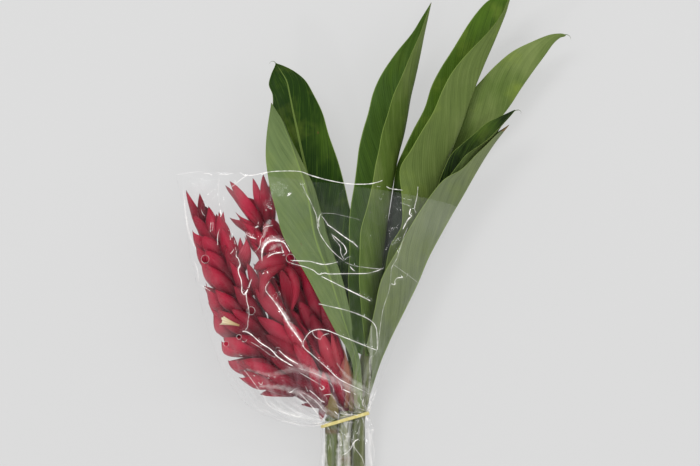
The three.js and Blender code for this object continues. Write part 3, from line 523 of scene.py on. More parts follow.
headRight = {
    "axis": [
        (0, 9, 35), (-1, 22, 36), (-6, 40, 36), (-18, 68, 35),
        (-37, 104, 34), (-59, 148, 34), (-75, 184, 35), (-84, 208, 37),
    ],
    "core": [(5.4,), (7,), (9,), (13,), (14,), (12,), (9,), (5,)],
    "rows": 8, "start": 0.14, "front": [(14, 6, -6), (10, 2, -8), (14, 4, -6), (20, 8, -4), (26, 12, -2)],
    "bracts": 32, "from": 0.2, "to": 0.95, "phase": 1.3, "seed": 11,
    "lean": [(42,), (46,), (48,), (48,), (46,), (40,), (26,)],
    "size": [(0.75,), (0.95,), (1.05,), (1.05,), (1,), (0.85,), (0.65,)],
    "planes": [floorPlane, rightOfGap, ((-0.933, -0.36, 0), 25), ((0, 0, -1), 70)],
    "placed": [
        ((-2, 26, 40), (-1, 62, 52), (0.6, 0, 1), 12, 0.7),
        ((-7, 14, 39), (-24, 52, 47), (-0.4, -0.2, 1), 13),
        ((-4, 14, 43), (-20, 50, 53), (-0.3, -0.1, 1), 13),
        ((-2, 13, 42), (-9, 44, 54), (0.1, -0.1, 1), 12),
        ((1, 34, 42), (-14, 88, 57), (0.5, 0, 1), 13, 0.5),
        ((-3, 32, 44), (-27, 92, 61), (0.1, 0, 1), 16, 0.4),
        ((-10, 38, 46), (-45, 76, 58), (-0.2, -0.2, 1), 14, 0.15),
        ((-21, 98, 44), (-46, 158, 54), (0.2, 0, 1), 15),
        ((-60, 108, 52), (-63, 150, 66), (0, 0.3, -1), 21),
        ((-74, 104, 52), (-80, 146, 58), (-0.3, 0, 1), 11),
        ((-48, 140, 48), (-66, 186, 54), (0.2, 0, 1), 16),
        ((-60, 148, 52), (-80, 198, 58), (0, 0, 1), 21),
        ((-78, 158, 46), (-100, 178, 50), (-0.3, -0.2, 1), 10),
        ((-78, 170, 46), (-99, 188, 48), (-0.3, -0.2, 1), 8),
        ((-78, 178, 48), (-109.5, 199, 52), (-0.2, -0.2, 1), 11),
        ((-84, 188, 46), (-113, 206, 52), (-0.2, -0.2, 1), 6),
        ((-84, 190, 46), (-108, 219, 48), (-0.5, -0.3, 1), 10),
        ((-86, 192, 44), (-119.5, 235, 50), (-0.5, -0.3, 1), 9),
        ((-82, 192, 46), (-115, 239, 53), (-0.2, 0, 1), 12),
        ((-79, 194, 44), (-92, 242, 45), (-0.2, 0, 1), 10),
        ((-76, 194, 46), (-82, 246, 50), (0, 0, 1), 12),
        ((-72, 192, 44), (-76, 236, 46), (0.3, 0, 1), 9),
        ((6, 8, 38), (8, 62, 48), (0.1, 0, 1), 15, 1),
        ((2, 12, 42), (4, 80, 54), (0.3, 0, 1), 11, 0.85),
        ((9, 6, 36), (13, 52, 44), (0.2, 0, 1), 12, 1),
        ((-4, 6, 36), (-6, 40, 40), (0, 0, 1), 14, 0.5),
        ((0, 66, 40), (-12, 112, 46), (0.4, 0, 1), 16, 0.2),
        ((-12, 30, 38), (-30, 68, 42), (-0.4, 0, 1), 14),
        ((-4, 5, 36), (-12, 48, 42), (-0.3, 0, 1), 15, 0.2),
        ((-34, 90, 38), (-56, 128, 42), (-0.4, 0, 1), 16),
    ],
    "curled": [  # width, then the places along a bract that bends down again
        (10, [(-58, 155, 56), (-70, 151, 66), (-79, 143, 69), (-82, 130, 68), (-82, 114, 61)]),
        (10, [(-62, 153, 54), (-55, 148, 64), (-50, 139, 66), (-49, 126, 64), (-54, 108, 56)]),
        (18, [(-56, 162, 54), (-68, 159, 63), (-80, 156, 65), (-91, 151, 62)]),
    ],
}


def waxyMaterial():
    material, tree, skin = newMaterial("waxyBract")
    reach, side, shade, inner, depth, faded = (mark(tree, label) for label in bractMarks)
    patches = objectNoise(tree, 38, 4, (1, 1, 1), 0.6)
    stripes = calc(tree, "SINE", times(tree, side, 42))
    fromFoot = ramp(tree, reach, [
        (0.0, (112, 32, 34)), (0.14, (140, 10, 36)), (0.6, (180, 14, 54)), (0.92, (166, 12, 47)),
        (1.0, (96, 6, 22)),
    ])
    color = coated(tree, fromFoot, [
        (span(tree, patches, 0.42, 0.75, 0, 0.45), (216, 36, 78)),
        (span(tree, shade, 0.3, 1, 0, 0.45), (112, 4, 26)),
        (span(tree, faded, 0, 0.6, 0, 0.5), (196, 92, 96)),
        (span(tree, faded, 0.6, 1, 0, 0.9), (118, 116, 62)),
        (span(tree, stripes, 0.2, 1, 0, 0.12), (100, 6, 26)),
        (span(tree, calc(tree, "ABSOLUTE", side), 0.9, 1.0, 0, 0.4), (186, 56, 76)),
        (times(tree, inner, 0.5), (104, 8, 26)),
        # painted shade, darker near the rachis and less on faded husks
        (times(tree, depth, span(tree, faded, 0, 1, 0.86, 0.3)), (62, 2, 14)),
    ])
    skin.inputs["Specular IOR Level"].default_value = 0.26
    relief = plus(tree, times(tree, stripes, 0.25), patches)
    dress(tree, skin, color, span(tree, patches, 0.3, 0.7, 0.22, 0.42), relief, 0.0006, 0.45)
    return material


def bractKind(k, material):  # one unit long and wide
    rows, columns = bractLook["rows"], bractLook["columns"]
    arch, hollow, curl, blunt = bractLook["kinds"][k]
    points, marks = [], {"reach": [], "side": [], "inner": []}
    for layer, s, x in shellPlaces(rows, columns):
        half = 0.5 * math.sin(math.pi * (0.16 + 0.84 * min(s, 0.999))) ** blunt
        wave = 0.025 * math.sin(9 * s + 5 * k) * abs(x) ** 3
        keel = 0.035 * (1 - abs(x)) ** 3 * math.sin(math.pi * s)
        z = arch * 4 * s * (1 - s) * 0.5 - hollow * half * 2 * x * x + wave + keel + curl * 0.4 * s ** 4
        thick = (0.055 * (1 - x * x) + 0.012) * (1 - 0.75 * s)
        points.append((half * x, s, z - (thick if layer else 0)))
        for label, value in zip(marks, (s, x, layer)):
            marks[label].append(value)
    mesh = bpy.data.meshes.new("bractKind%d" % k)
    mesh.from_pydata(points, [], shellFaces(rows, columns))
    writeMarks(mesh, marks)
    mesh.materials.append(material)
    return bpy.data.objects.new(mesh.name, mesh)


def spreadTree():  # one bract of a fixed choice on every point, turned and sized by what the point carries
    tree, given, result = newTree("spreadBracts", [
        ("Bracts", "Collection"), ("Crinkle", "Float"), ("Seed", "Int"), ("Skin", "Material"),
    ])
    kinds = addOut(tree, "GeometryNodeCollectionInfo", {
        "Collection": given["Bracts"], "Separate Children": True, "Reset Children": True,
    })
    carried = {}
    for label, kind in (("kind", "INT"), ("turn", "FLOAT_VECTOR"), ("size", "FLOAT_VECTOR")):
        carried[label] = addOut(tree, "GeometryNodeInputNamedAttribute", {"Name": label}, data_type=kind)
    turned = addOut(tree, "FunctionNodeEulerToRotation", {0: carried["turn"]})
    spread = addOut(tree, "GeometryNodeInstanceOnPoints", {
        "Points": given["Geometry"], "Instance": kinds, "Pick Instance": True,
        "Instance Index": carried["kind"], "Rotation": turned, "Scale": carried["size"],
    })
    real = addOut(tree, "GeometryNodeRealizeInstances", {"Geometry": spread})
    where = addOut(tree, "GeometryNodeInputPosition")
    shake = addNode(tree, "ShaderNodeTexNoise", {
        "Vector": where, "W": given["Seed"], "Scale": 55.0, "Detail": 2.0,
    }, noise_dimensions="4D").outputs["Color"]
    centred = addOut(tree, "ShaderNodeVectorMath", {0: shake, 1: (0.5, 0.5, 0.5)}, operation="SUBTRACT")
    scaled = addOut(tree, "ShaderNodeVectorMath", {0: centred, "Scale": given["Crinkle"]}, operation="SCALE")
    moved = addOut(tree, "GeometryNodeSetPosition", {"Geometry": real, "Offset": scaled})
    skinned = addOut(tree, "GeometryNodeSetMaterial", {"Geometry": moved, "Material": given["Skin"]})
    tree.links.new(skinned, result["Geometry"])
    return tree


def keepInside(p, planes):
    softness = bractLook["softness"]
    for n, c in planes:
        distance = n[0] * p.x + n[1] * p.y + n[2] * p.z + c
        if distance < softness:
            p += Vector(n) * (softness * math.exp(distance / softness - 1) - distance)
    return p


def spiralBracts(head):  # at the sides and below
    look, made, seed = bractLook, [], head["seed"]
    for i in range(head["bracts"]):
        share = (i + 0.5) / head["bracts"]
        t = mix(head["from"], head["to"], share)
        centre, along, across, up = axisFrame(head["axis"], t)
        turn = i * goldenAngle + head["phase"]
        if math.sin(turn) > look["highest"]:
            continue
        outward = across * math.cos(turn) + up * math.sin(turn)
        facing = abs(math.sin(turn))
        lean = splineAt(head["lean"], share)[0] * (1 - look["pressed"] * facing)
        lean = math.radians(lean + look["leanShake"] * (draw(i, seed) - 0.5))
        size = splineAt(head["size"], share)[0]
        length = look["length"] * size * (0.9 + 0.2 * draw(i, seed + 1))
        base = centre + outward * look["onCore"] * splineAt(head["core"], t)[0]
        tip = base + along * length * math.cos(lean) + outward * length * math.sin(lean)
        outer = [(Vector(n), c) for n, c in head["planes"][2:4]]
        while length > look["shortest"] and any(n.dot(tip) + c < look["margin"] for n, c in outer):
            tip = base.lerp(tip, look["shorten"])
            length *= look["shorten"]
        made.append((base, tip, outward + up * 0.6 * (1 - facing), look["width"] * (0.45 + 0.55 * size)))
    return made


def frontBracts(head):  # three to a row, leaning as much as the head's "front" says
    look, made, seed = frontLook, [], head["seed"]
    for j in range(head["rows"]):
        for k in (-1, 0, 1):
            i = 3 * j + k + 1
            share = (j + 0.5 - look["ahead"] * (k == 0)) / head["rows"]
            t = mix(head["start"], look["to"], share)
            centre, along, across, up = axisFrame(head["axis"], t)
            core = splineAt(head["core"], t)[0]
            lean = splineAt(head["front"], share)[k + 1] + look["leanShake"] * (draw(i, seed + 2) - 0.5)
            lean = math.radians(lean)
            least, more, shorter = look["length"]
            length = bractLook["length"] * (least + more * draw(i, seed + 3)) * (1 - shorter * share * share)
            base = centre + across * k * look["aside"] * core + up * core * (0.75 if k == 0 else 0.5)
            base -= along * look["back"]
            tip = base + along * length * math.cos(lean) - across * length * math.sin(lean)
            tip += up * (look["rise"][0] + look["rise"][1] * draw(i, seed + 4))
            width = bractLook["width"] * (look["width"][0] + look["width"][1] * draw(i, seed + 6))
            made.append((base, tip, up + across * look["turned"] * k, width))
    return made


def curledBract(width, path, material):
    rows, columns = 19, 9
    points, marks = [], {label: [] for label in bractMarks}
    for layer, s, x in shellPlaces(rows, columns):
        centre, _, across, up = axisFrame(path, s)
        half = 0.5 * width * math.sin(math.pi * (0.2 + 0.8 * min(s, 0.998))) ** 0.7
        low = half * 0.75 * x * x + layer * 0.9 * (1 - 0.7 * x * x) * (1 - 0.7 * s)
        points.append(centre + across * half * x - up * low)
        # the fifth value is painted shade, more on the underside
        for label, value in zip(bractMarks, (s, x, 0.8, layer, mix(0.15, 0.6, layer), 0.1)):
            marks[label].append(value)
    return newPiece("curledBract", points, shellFaces(rows, columns), material, marks)


def makeRachis(name, head, material):  # the bracts stand on it
    sides, steps = rachisLook["sides"], rachisLook["steps"]
    points = []
    for i in range(steps + 1):
        t = i / steps
        centre, along, across, up = axisFrame(head["axis"], t)
        radius = splineAt(head["core"], t)[0]
        radius = mix(radius, rachisLook["tip"], clamp((t - 0.9) * 10)) * (0.97 if i else 1)
        for k in range(sides):
            angle = 2 * math.pi * k / sides
            lump = 1 + rachisLook["lump"] * math.sin(7 * angle + 11 * t) * clamp(t * 8)
            out = (across * math.cos(angle) + up * math.sin(angle)) * radius * lump
            points.append(centre + out + along * (0.3 if i == 0 else 0))
    faces = gridFaces(steps + 1, sides, wrap=True, turned=True)
    faces += [tuple(range(sides)), tuple(reversed(range(steps * sides, (steps + 1) * sides)))]
    # the rachis carries full painted shade
    marks = {label: [value] * len(points) for label, value in zip(bractMarks, (0.08, 0, 0.7, 0, 1, 0))}
    return newPiece(name, points, faces, material, marks)


def bractPoints(name, head):  # a point for every bract, with its turn, size, kind and tint
    seed, kindCount = head["seed"], len(bractLook["kinds"])
    points, turns, sizes, kinds, shades, faded = [], [], [], [], [], []
    bracts = spiralBracts(head) + frontBracts(head) + head["placed"]
    for i, (base, tip, outward, width, *rest) in enumerate(bracts):
        start, end, back = Vector(base), Vector(tip), Vector(outward)
        along = (end - start).normalized()
        out = (back - along * back.dot(along)).normalized()
        points.append(start)
        turns += list(Matrix((along.cross(out), along, out)).transposed().to_euler())
        sizes += [width * mm, (end - start).length * mm, width * mm * mix(0.85, 1.15, draw(i, 41))]
        kinds.append(int(draw(i, seed + 5) * kindCount) % kindCount)
        shades.append(draw(i, seed + 9))
        faded.append(float(rest[0]) if rest else 0.0)
    source = newPiece(name, points, [])
    writeMarks(source.data, {"turn": turns, "size": sizes}, "FLOAT_VECTOR")
    writeMarks(source.data, {"kind": kinds}, "INT")
    writeMarks(source.data, {"shade": shades, "faded": faded})
    return source


def pressBracts(mesh, head):  # against the floor, the film and each other, with painted shade darker near the rachis
    places = np.empty(len(mesh.vertices) * 3)
    mesh.vertices.foreach_get("co", places)
    places = places.reshape(-1, 3) * 1000 - np.array(tieSpot)
    kept = np.array([keepInside(Vector(p), head["planes"]) for p in places])
    mesh.vertices.foreach_set("co", ((kept + np.array(tieSpot)) * mm).ravel())
    # painted shade: the nearer a point lies to the rachis, the darker
    line = np.array([splineAt(head["axis"], k / 60) + splineAt(head["core"], k / 60) for k in range(61)])
    away = np.linalg.norm(kept[:, None, :] - line[None, :, :3], axis=2) - line[None, :, 3]
    writeMarks(mesh, {"depth": np.clip(1 - away.min(axis=1) / bractLook["shadeDepth"], 0, 1)})


def makeHead(name, head, node, tree, kinds, material):
    values = {"Bracts": kinds, "Crinkle": bractLook["crinkle"], "Seed": head["seed"], "Skin": material}
    piece = runTree(bractPoints(name + "Points", head), tree, values, name)
    pressBracts(piece.data, head)
    more = [makeRachis(name + "Rachis", head, material)]
    more += [curledBract(width, path, material) for width, path in head["curled"]]
    with bpy.context.temp_override(active_object=piece, selected_editable_objects=[piece] + more):
        bpy.ops.object.join()
    piece.data.shade_smooth()
    standFor(piece, "bracts", node)


waxy = waxyMaterial()
kinds = bpy.data.collections.new("bractKinds")
for k in range(len(bractLook["kinds"])):
    kinds.objects.link(bractKind(k, waxy))
spread = spreadTree()
makeHead("head_left", headLeft, "head_1", spread, kinds, waxy)
makeHead("head_right", headRight, "head_2", spread, kinds, waxy)
for source in list(kinds.objects):
    bpy.data.objects.remove(source)
bpy.data.collections.remove(kinds)

shootAlong = Vector((0.13, 1, 0.12)).normalized()
caneTops = {  # centre, direction and radius of the rings above the tie
    "cane_left": [(*axisFrame(headLeft["axis"], 0)[:2], 5.4)],
    "cane_middle": [(*axisFrame(headRight["axis"], 0)[:2], 5.4)],
    "cane_leafy": [(shootAt(y), shootAlong, radius)
                   for y, radius in ((8, 6.8), (18, 7.6), (32, 8.2), (50, 7.6), (70, 5.9), (76, 3.5))],
}
caneSkin = caneMaterial()
for name, top in caneTops.items():
    makeCane(name, top, caneSkin)
print("flower heads and canes")

# ---- leaves

leafLook = {
    "thickness": 0.6, "rib": 0.9, "columns": 33, "perRow": 8, "sheath": 7.3, "bow": 0.07, "tail": 0.45,
    "mottle": 0.15, "edge": 0.7,  # where a leaf doesn't give its own
    "waves": (31, 43, 71), "thinEdge": 0.45, "thinTip": 0.5, "ribFade": 0.8, "ribWidth": 1.6, "foldShadeSharp": 2.2,
}
# each leaf: where it leaves the shoot (y, angle, spread), the face with the rib and the leaf's own upper
# face (1 looks up), how its margins wave, the upper and the under color, where the dry tip starts, and
# rows of left margin, rib and right margin
leaves = {
    "leaf_1": {
        "sheath": (31, 140, 34), "ribSide": -1, "wave": 0.8, "upper": 1,
        "colors": ((26, 54, 4), (104, 124, 76)), "dryTip": 0.97, "mottle": 0.22,
        "rows": [
            (4, 56, 44, 9, 54, 43, 12.5, 52, 45),
            (-1, 81, 45, 4, 79, 42, 9, 78, 44),
            (-9, 113, 45, -3, 110, 40, 10, 109, 43),
            (-23, 152, 46, -13, 149, 39, 11, 147, 42),
            (-39, 193, 46, -23, 189, 38, 10, 186, 42),
            (-54, 225, 46, -31, 220, 39, 4, 216, 43),
            (-66, 255, 47, -39, 250, 41, -3, 246, 45),
            (-73, 291, 51, -47.6, 289, 45, -16, 285, 49),
            (-71, 318, 53, -53.5, 316, 48, -27, 316, 52),
            (-75.5, 335, 54, -58, 338, 51, -40, 339, 53),
            (-72, 349, 55, -65, 350, 53, -55, 351, 54),
            (-69.5, 355, 55.5, -68.5, 355.6, 55.2, -67.5, 356, 55.6),
        ],
        "tip": (-69.5, 357, 56), "tail": [(-71.5, 358.2, 57), (-74.2, 357.6, 58), (-76, 354.6, 58)],
    },
    "leaf_2": {
        "sheath": (12, 112, 30), "ribSide": 1, "wave": 0.7, "upper": -1,
        "colors": ((40, 66, 20), (104, 124, 76)), "dryTip": 0.985,
        "rows": [
            (9, 22, 46, 13, 22, 47.5, 17, 22, 47),
            (8, 46, 50, 12, 46, 52, 17, 46, 52),
            (4, 67, 55, 10, 66, 56, 14, 65, 54),
            (-9, 88, 63, 3.5, 86, 65, 8, 84, 61),
            (-20, 109, 70, -3, 106, 71, 6.5, 103, 65),
            (-42, 150, 74, -16, 146, 76, -3, 142, 67),
            (-60, 181, 74, -28.5, 178, 78, -15, 175, 66),
            (-67, 204, 72, -33.5, 203, 78, -22, 200, 66),
            (-73, 225, 70, -38, 228, 77, -28, 225, 65),
            (-77.5, 247, 68, -45, 250, 74, -38, 248, 64),
            (-79.5, 270, 65, -54, 276, 71, -50, 273, 63),
            (-77, 294, 62, -63.5, 300, 67, -61, 297, 61),
        ],
        "tip": (-73.5, 317, 60),
    },
    "leaf_3": {
        "sheath": (64, 75, 30), "ribSide": -1, "wave": 1, "upper": 1,
        "colors": ((77, 107, 44), (88, 112, 42)), "dryTip": 0.985,
        "rows": [
            (9, 69, 46, 24, 70, 46, 20, 72, 52),
            (6, 88, 47, 27, 90, 46, 19, 91, 57),
            (4, 131, 50, 34, 130, 43, 15, 131, 63),
            (4, 172, 51, 38.5, 170, 41, 14, 171, 69),
            (5, 207, 50, 43, 205, 41, 19.5, 205, 73),
            (9.5, 241, 49, 48, 239, 41, 28, 240, 74),
            (13, 269, 48, 53.5, 266, 41, 32.5, 267, 73),
            (19, 295, 47, 60, 291, 41, 37.5, 293, 71),
            (28, 325, 46, 65, 321, 42, 48, 322, 68),
            (41, 354, 46, 72, 351, 44, 60, 352, 64),
            (66.5, 386, 50, 79, 385, 48, 74.5, 385, 57),
        ],
        "tip": (86.3, 417.7, 52),
    },
    "leaf_4": {
        "sheath": (68, -5, 28), "ribSide": -1, "wave": 1.4, "upper": 1,
        # a spot of painted shade (x, y, radius) where the left half lies low inside the fold
        "colors": ((76, 106, 28), (102, 121, 60)), "dryTip": 0.99, "mottle": 0.3, "deep": (50, 196, 46),
        "rows": [
            (31, 92, 36, 38, 89, 37.5, 32.5, 92, 42),
            (34, 127, 33, 48, 122, 38, 39, 126, 44),
            (37, 167, 31, 62, 158, 37, 43, 166, 49),
            (44, 205, 32, 76, 192, 37, 58, 199, 58),
            (50, 246, 34, 91, 229, 39, 54, 244, 55),
            (62, 278, 38, 102, 259, 42, 68, 275, 61),
            (78, 308, 41, 115, 291, 45, 87, 304, 67),
            (90, 341, 44, 126, 323, 48, 99.5, 335, 69),
            (106, 368, 47, 138, 353, 50, 118, 362, 68),
            (132, 409, 52, 156, 396, 54, 151.5, 398, 62),
            (151, 423, 56, 163, 416, 57, 161, 416, 60),
        ],
        "tip": (168, 432, 60),
    },
    "leaf_5": {
        "sheath": (48, -60, 28), "ribSide": -1, "wave": 1, "upper": 1,
        "colors": ((60, 86, 28), (94, 116, 52)), "dryTip": 0.965, "mottle": 0.6,
        "rows": [
            (27, 72, 26, 35, 68, 28, 28, 72, 33),
            (33, 91, 20, 40, 88, 26, 33, 91, 31),
            (38, 126, 13, 48, 120, 22, 39, 125, 27),
            (42, 161, 9, 57, 152, 21, 43, 160, 26),
            (52, 203, 10, 71, 192, 20, 53, 202, 26),
            (70, 246, 11, 92, 232, 21, 72, 245, 28),
            (94, 284, 12, 122, 265, 22, 95, 282, 31),
            (116, 316, 17, 148, 294, 27, 116, 315, 36),
            (137, 335, 21, 164, 313.5, 30, 133, 335, 39),
            (160, 356, 26, 180, 338, 33, 156, 360, 41),
            (189, 374, 31, 199, 364, 36, 186, 378.5, 42),
            (208, 384, 37, 211, 380, 38, 210, 386.7, 41),
            (219, 385, 40, 219.3, 384, 40, 219.6, 386, 41.5),
        ],
        "tip": (221.5, 385.6, 40.5), "tail": [(224, 384.8, 40.5), (225.8, 382.6, 40.5), (226, 380, 40)],
    },
    "leaf_6": {
        "sheath": (55, 35, 28), "ribSide": -1, "wave": 0.8, "upper": 1,
        # its upper color is darker than the other leaves': painted shade on the upper face inside its fold
        "colors": ((18, 34, 8), (80, 100, 50)), "dryTip": 0.96,
        "rows": [
            (31.5, 68, 42, 34, 67, 45, 30, 68, 49),
            (36, 93, 43, 42, 91, 45.5, 36, 93, 50),
            (48, 131, 44, 58, 126, 47, 48, 131, 52.5),
            (62, 168, 45, 74, 160, 48, 62, 168, 55),
            (78, 206, 47, 94, 194, 49, 79, 204, 58),
            (91, 230, 48, 108, 216, 50, 92, 227, 60),
            (104, 262, 50, 123, 246, 52, 112, 254, 61),
            (121, 279, 52, 135.5, 267, 54, 124, 268, 63),
            (140, 295, 55, 148.5, 283, 57, 141, 279, 64),
            (157, 304, 59, 160, 300, 60, 157, 295, 64),
            (168.5, 309.5, 62, 169, 308.6, 61.7, 169.6, 309, 62.4),
        ],
        "tip": (171, 309.4, 62), "tail": [(173.6, 309.4, 62), (175.4, 307.6, 62), (175.4, 305.6, 61)],
    },
    "leaf_7": {
        "sheath": (26, -10, 30), "ribSide": -1, "wave": 0.9, "upper": 1, "edge": 1.3,
        "colors": ((60, 84, 34), (114, 125, 92)), "dryTip": 0.9,
        "rows": [
            (31.5, 54, 36, 33, 53, 42, 27, 55, 49),
            (38, 70, 38, 40, 70, 47, 22, 73, 58),
            (46, 93, 37, 49.5, 91, 49, 27, 94, 61),
            (64, 132, 33, 69, 130, 48.5, 36, 134, 65),
            (82, 174, 29, 87, 171, 48, 55, 178, 68),
            (108, 224, 30, 115, 220, 49, 88.5, 232, 70),
            (125, 250, 36, 131, 248, 52, 117, 252, 68),
            (139, 272, 42, 144.5, 270, 55, 136.5, 271, 66),
            (151.5, 287, 50, 156, 285.5, 58, 151, 285, 63),
        ],
        "tip": (163.6, 295, 61),
    },
}


def leafMaterial(name, leaf):
    material, tree, skin = newMaterial(name + "Skin")
    upper, under = (srgb(*color) for color in leaf["colors"])
    reach, side, top = mark(tree, "reach"), mark(tree, "side"), mark(tree, "upper")
    away = calc(tree, "ABSOLUTE", side)
    patches = objectNoise(tree, 14, 4, (1, 0.6, 1), 0.55)
    lighter = blendColor(tree, top, srgb(146, 160, 98), srgb(92, 124, 38))
    mottle = span(tree, objectNoise(tree, 30, 3), 0.56, 0.7)
    mottle = times(tree, mottle, leaf.get("mottle", leafLook["mottle"]))
    clouds = span(tree, objectNoise(tree, 7, 2), 0.35, 0.65, 0.22, 0)
    # side veins leave the rib at a slant and run on to the margin
    slant = calc(tree, "SUBTRACT", reach, times(tree, away, 0.24))
    uneven = plus(tree, slant, times(tree, calc(tree, "SUBTRACT", patches, 0.5), 0.02))
    veins = span(tree, calc(tree, "SINE", times(tree, uneven, 520)), 0.1, 1.0)
    broad = calc(tree, "SINE", times(tree, uneven, 97))
    lanes = flatNoise(tree, times(tree, slant, 70), times(tree, side, 2.2), 4.0, 0.6)
    strong = span(tree, top, 0, 1, 0.5, 1)
    rib = calc(tree, "GREATER_THAN", span(tree, reach, 0, 1, 0.055, 0.02), away)
    speck = span(tree, objectNoise(tree, 120, 1), 0.79, 0.82)
    color = coated(tree, blendColor(tree, top, under, upper), [
        (span(tree, patches, 0.5, 0.7, 0, 0.6), lighter),
        (span(tree, patches, 0.44, 0.28, 0, 0.3), (26, 44, 14)),
        (mottle, (138, 158, 62)),
        (clouds, (24, 40, 12)),
        (times(tree, span(tree, lanes, 0.52, 0.72, 0, 0.4), strong), lighter),
        (times(tree, span(tree, lanes, 0.46, 0.3, 0, 0.5), strong), (20, 40, 8)),
        (times(tree, veins, 0.1), lighter),
        (span(tree, broad, 0.2, 1.0, 0, 0.08), (28, 46, 14)),
        (times(tree, rib, span(tree, reach, 0.75, 0.95, 0.6, 0.1)), (128, 150, 76)),
        (times(tree, span(tree, away, 0.965, 0.985), 0.6), (142, 164, 80)),  # the pale margin
        (span(tree, reach, leaf["dryTip"], min(leaf["dryTip"] + 0.02, 1)), (120, 98, 60)),
        (times(tree, speck, 0.6), (96, 72, 40)),
        # painted shade on the half that lies low inside the fold
        (times(tree, mark(tree, "deep"), 0.85), (30, 38, 38)),
    ])
    gloss = plus(tree, span(tree, top, 0, 1, 0.46, 0.33), times(tree, objectNoise(tree, 220, 2), 0.08))
    skin.inputs["Specular IOR Level"].default_value = 0.12
    relief = plus(tree, times(tree, veins, 0.25), times(tree, broad, 0.35))
    dress(tree, skin, color, gloss, relief, 0.0006, 0.45)
    return material


def sheathRow(leaf):  # where the leaf leaves the shoot
    y, angle, spread = leaf["sheath"]
    centre, radius = shootAt(y), leafLook["sheath"]
    turn = -1 if leaf["ribSide"] > 0 or angle > 140 else 1
    row = []
    for step in (-spread, 0, spread):
        a = math.radians(angle + turn * step)
        row += [centre.x + radius * math.cos(a), y, centre.z + radius * math.sin(a)]
    return row


def bladeRows(leaf):  # rows of margin, half, rib, half, margin
    rows = [sheathRow(leaf)] + [list(row) for row in leaf["rows"]]
    count = int(1.6 * len(leaf["rows"]) + 0.5)
    made = []
    for i in range(count):
        u = i / (count - 1)
        row = splineAt(rows, u)
        left, rib, right = (Vector(row[k:k + 3]) for k in (0, 3, 6))
        ahead, behind = (Vector(splineAt(rows, clamp(u + step))[3:6]) for step in (0.01, -0.01))
        along = (ahead - behind).normalized()
        halves, faces = [], []
        for margin, sign in ((left, 1), (right, -1)):
            across = (rib - margin) * sign
            faces.append(across.cross(along).normalized())
            halves.append(margin.lerp(rib, 0.5) - faces[-1] * leafLook["bow"] * across.length)
        slow, quick, quicker = leafLook["waves"]
        ripple = leaf["wave"] * math.sin(u * slow + left.x) * math.sin(math.pi * u)
        edge = math.sin(u * quick + right.x) + 0.6 * math.sin(u * quicker)
        edge = leaf.get("edge", leafLook["edge"]) * edge
        edge *= math.sin(math.pi * u) ** 0.5
        left = left + faces[0] * ripple + (left - rib).normalized() * edge
        right = right - faces[1] * ripple + (right - rib).normalized() * edge
        made.append([*left, *halves[0], *rib, *halves[1], *right])
    end, tip = made[-1], leaf["tip"]
    made.append([mix(end[k], tip[k % 3], 0.5) for k in range(15)])
    tail = [Vector(tip)] + [Vector(p) for p in leaf.get("tail", [])]
    for i, p in enumerate(tail):  # a thin dry tail that may curl
        run = (tail[min(i + 1, len(tail) - 1)] - tail[max(i - 1, 0)]).normalized()
        side = Vector((-run.y, run.x, 0)) * leafLook["tail"] * (len(tail) - 1 - i) / len(tail)
        made.append([v for k in (-1, -0.5, 0, 0.5, 1) for v in p + side * k])
    return made


def makeLeaf(name, leaf):
    look, rows = leafLook, bladeRows(leaf)
    columns = look["columns"]
    count = (len(rows) - 1) * look["perRow"] + 1
    grid = []
    for i in range(count):
        flat = splineAt(rows, i / (count - 1))
        five = [flat[k:k + 3] for k in range(0, 15, 3)]
        grid.append([Vector(splineAt(five, c / (columns - 1))) for c in range(columns)])
    points, marks = [], {"reach": [], "side": [], "upper": [], "deep": []}
    middle = (columns - 1) / 2
    *spot, wide = leaf.get("deep", (0, 0, 1e-3))  # where the left half lies low inside the fold and gets painted shade
    for layer in (1, -1):
        for r, row in enumerate(grid):
            u = r / (count - 1)
            for c, p in enumerate(row):
                along = grid[min(r + 1, count - 1)][c] - grid[max(r - 1, 0)][c]
                across = row[min(c + 1, columns - 1)] - row[max(c - 1, 0)]
                normal = across.cross(along)
                normal = normal.normalized() if normal.length > 1e-9 else skyward
                off = abs(c - middle) / middle
                thick = look["thickness"] / 2 * mix(1, look["thinEdge"], off) * mix(1, look["thinTip"], u)
                if layer == leaf["ribSide"]:
                    narrow = max(0, 1 - off * middle / look["ribWidth"])
                    thick += look["rib"] * (1 - look["ribFade"] * u) * narrow
                points.append(p + normal * layer * thick)
                deep = look["foldShadeSharp"] - look["foldShadeSharp"] * math.dist(p[:2], spot) / wide
                deep = clamp(deep) if c < middle - 1 else 0
                for label, value in zip(marks, (u, (c - middle) / middle, layer == leaf["upper"], deep)):
                    marks[label].append(value)
    faces = shellFaces(count, columns)
    piece = newPiece(name.replace("leaf", "blade"), points, faces, leafMaterial(name, leaf), marks)
    standFor(piece, "leaf", name)


for name, leaf in leaves.items():
    makeLeaf(name, leaf)
print("leaves")

# ---- film sleeve

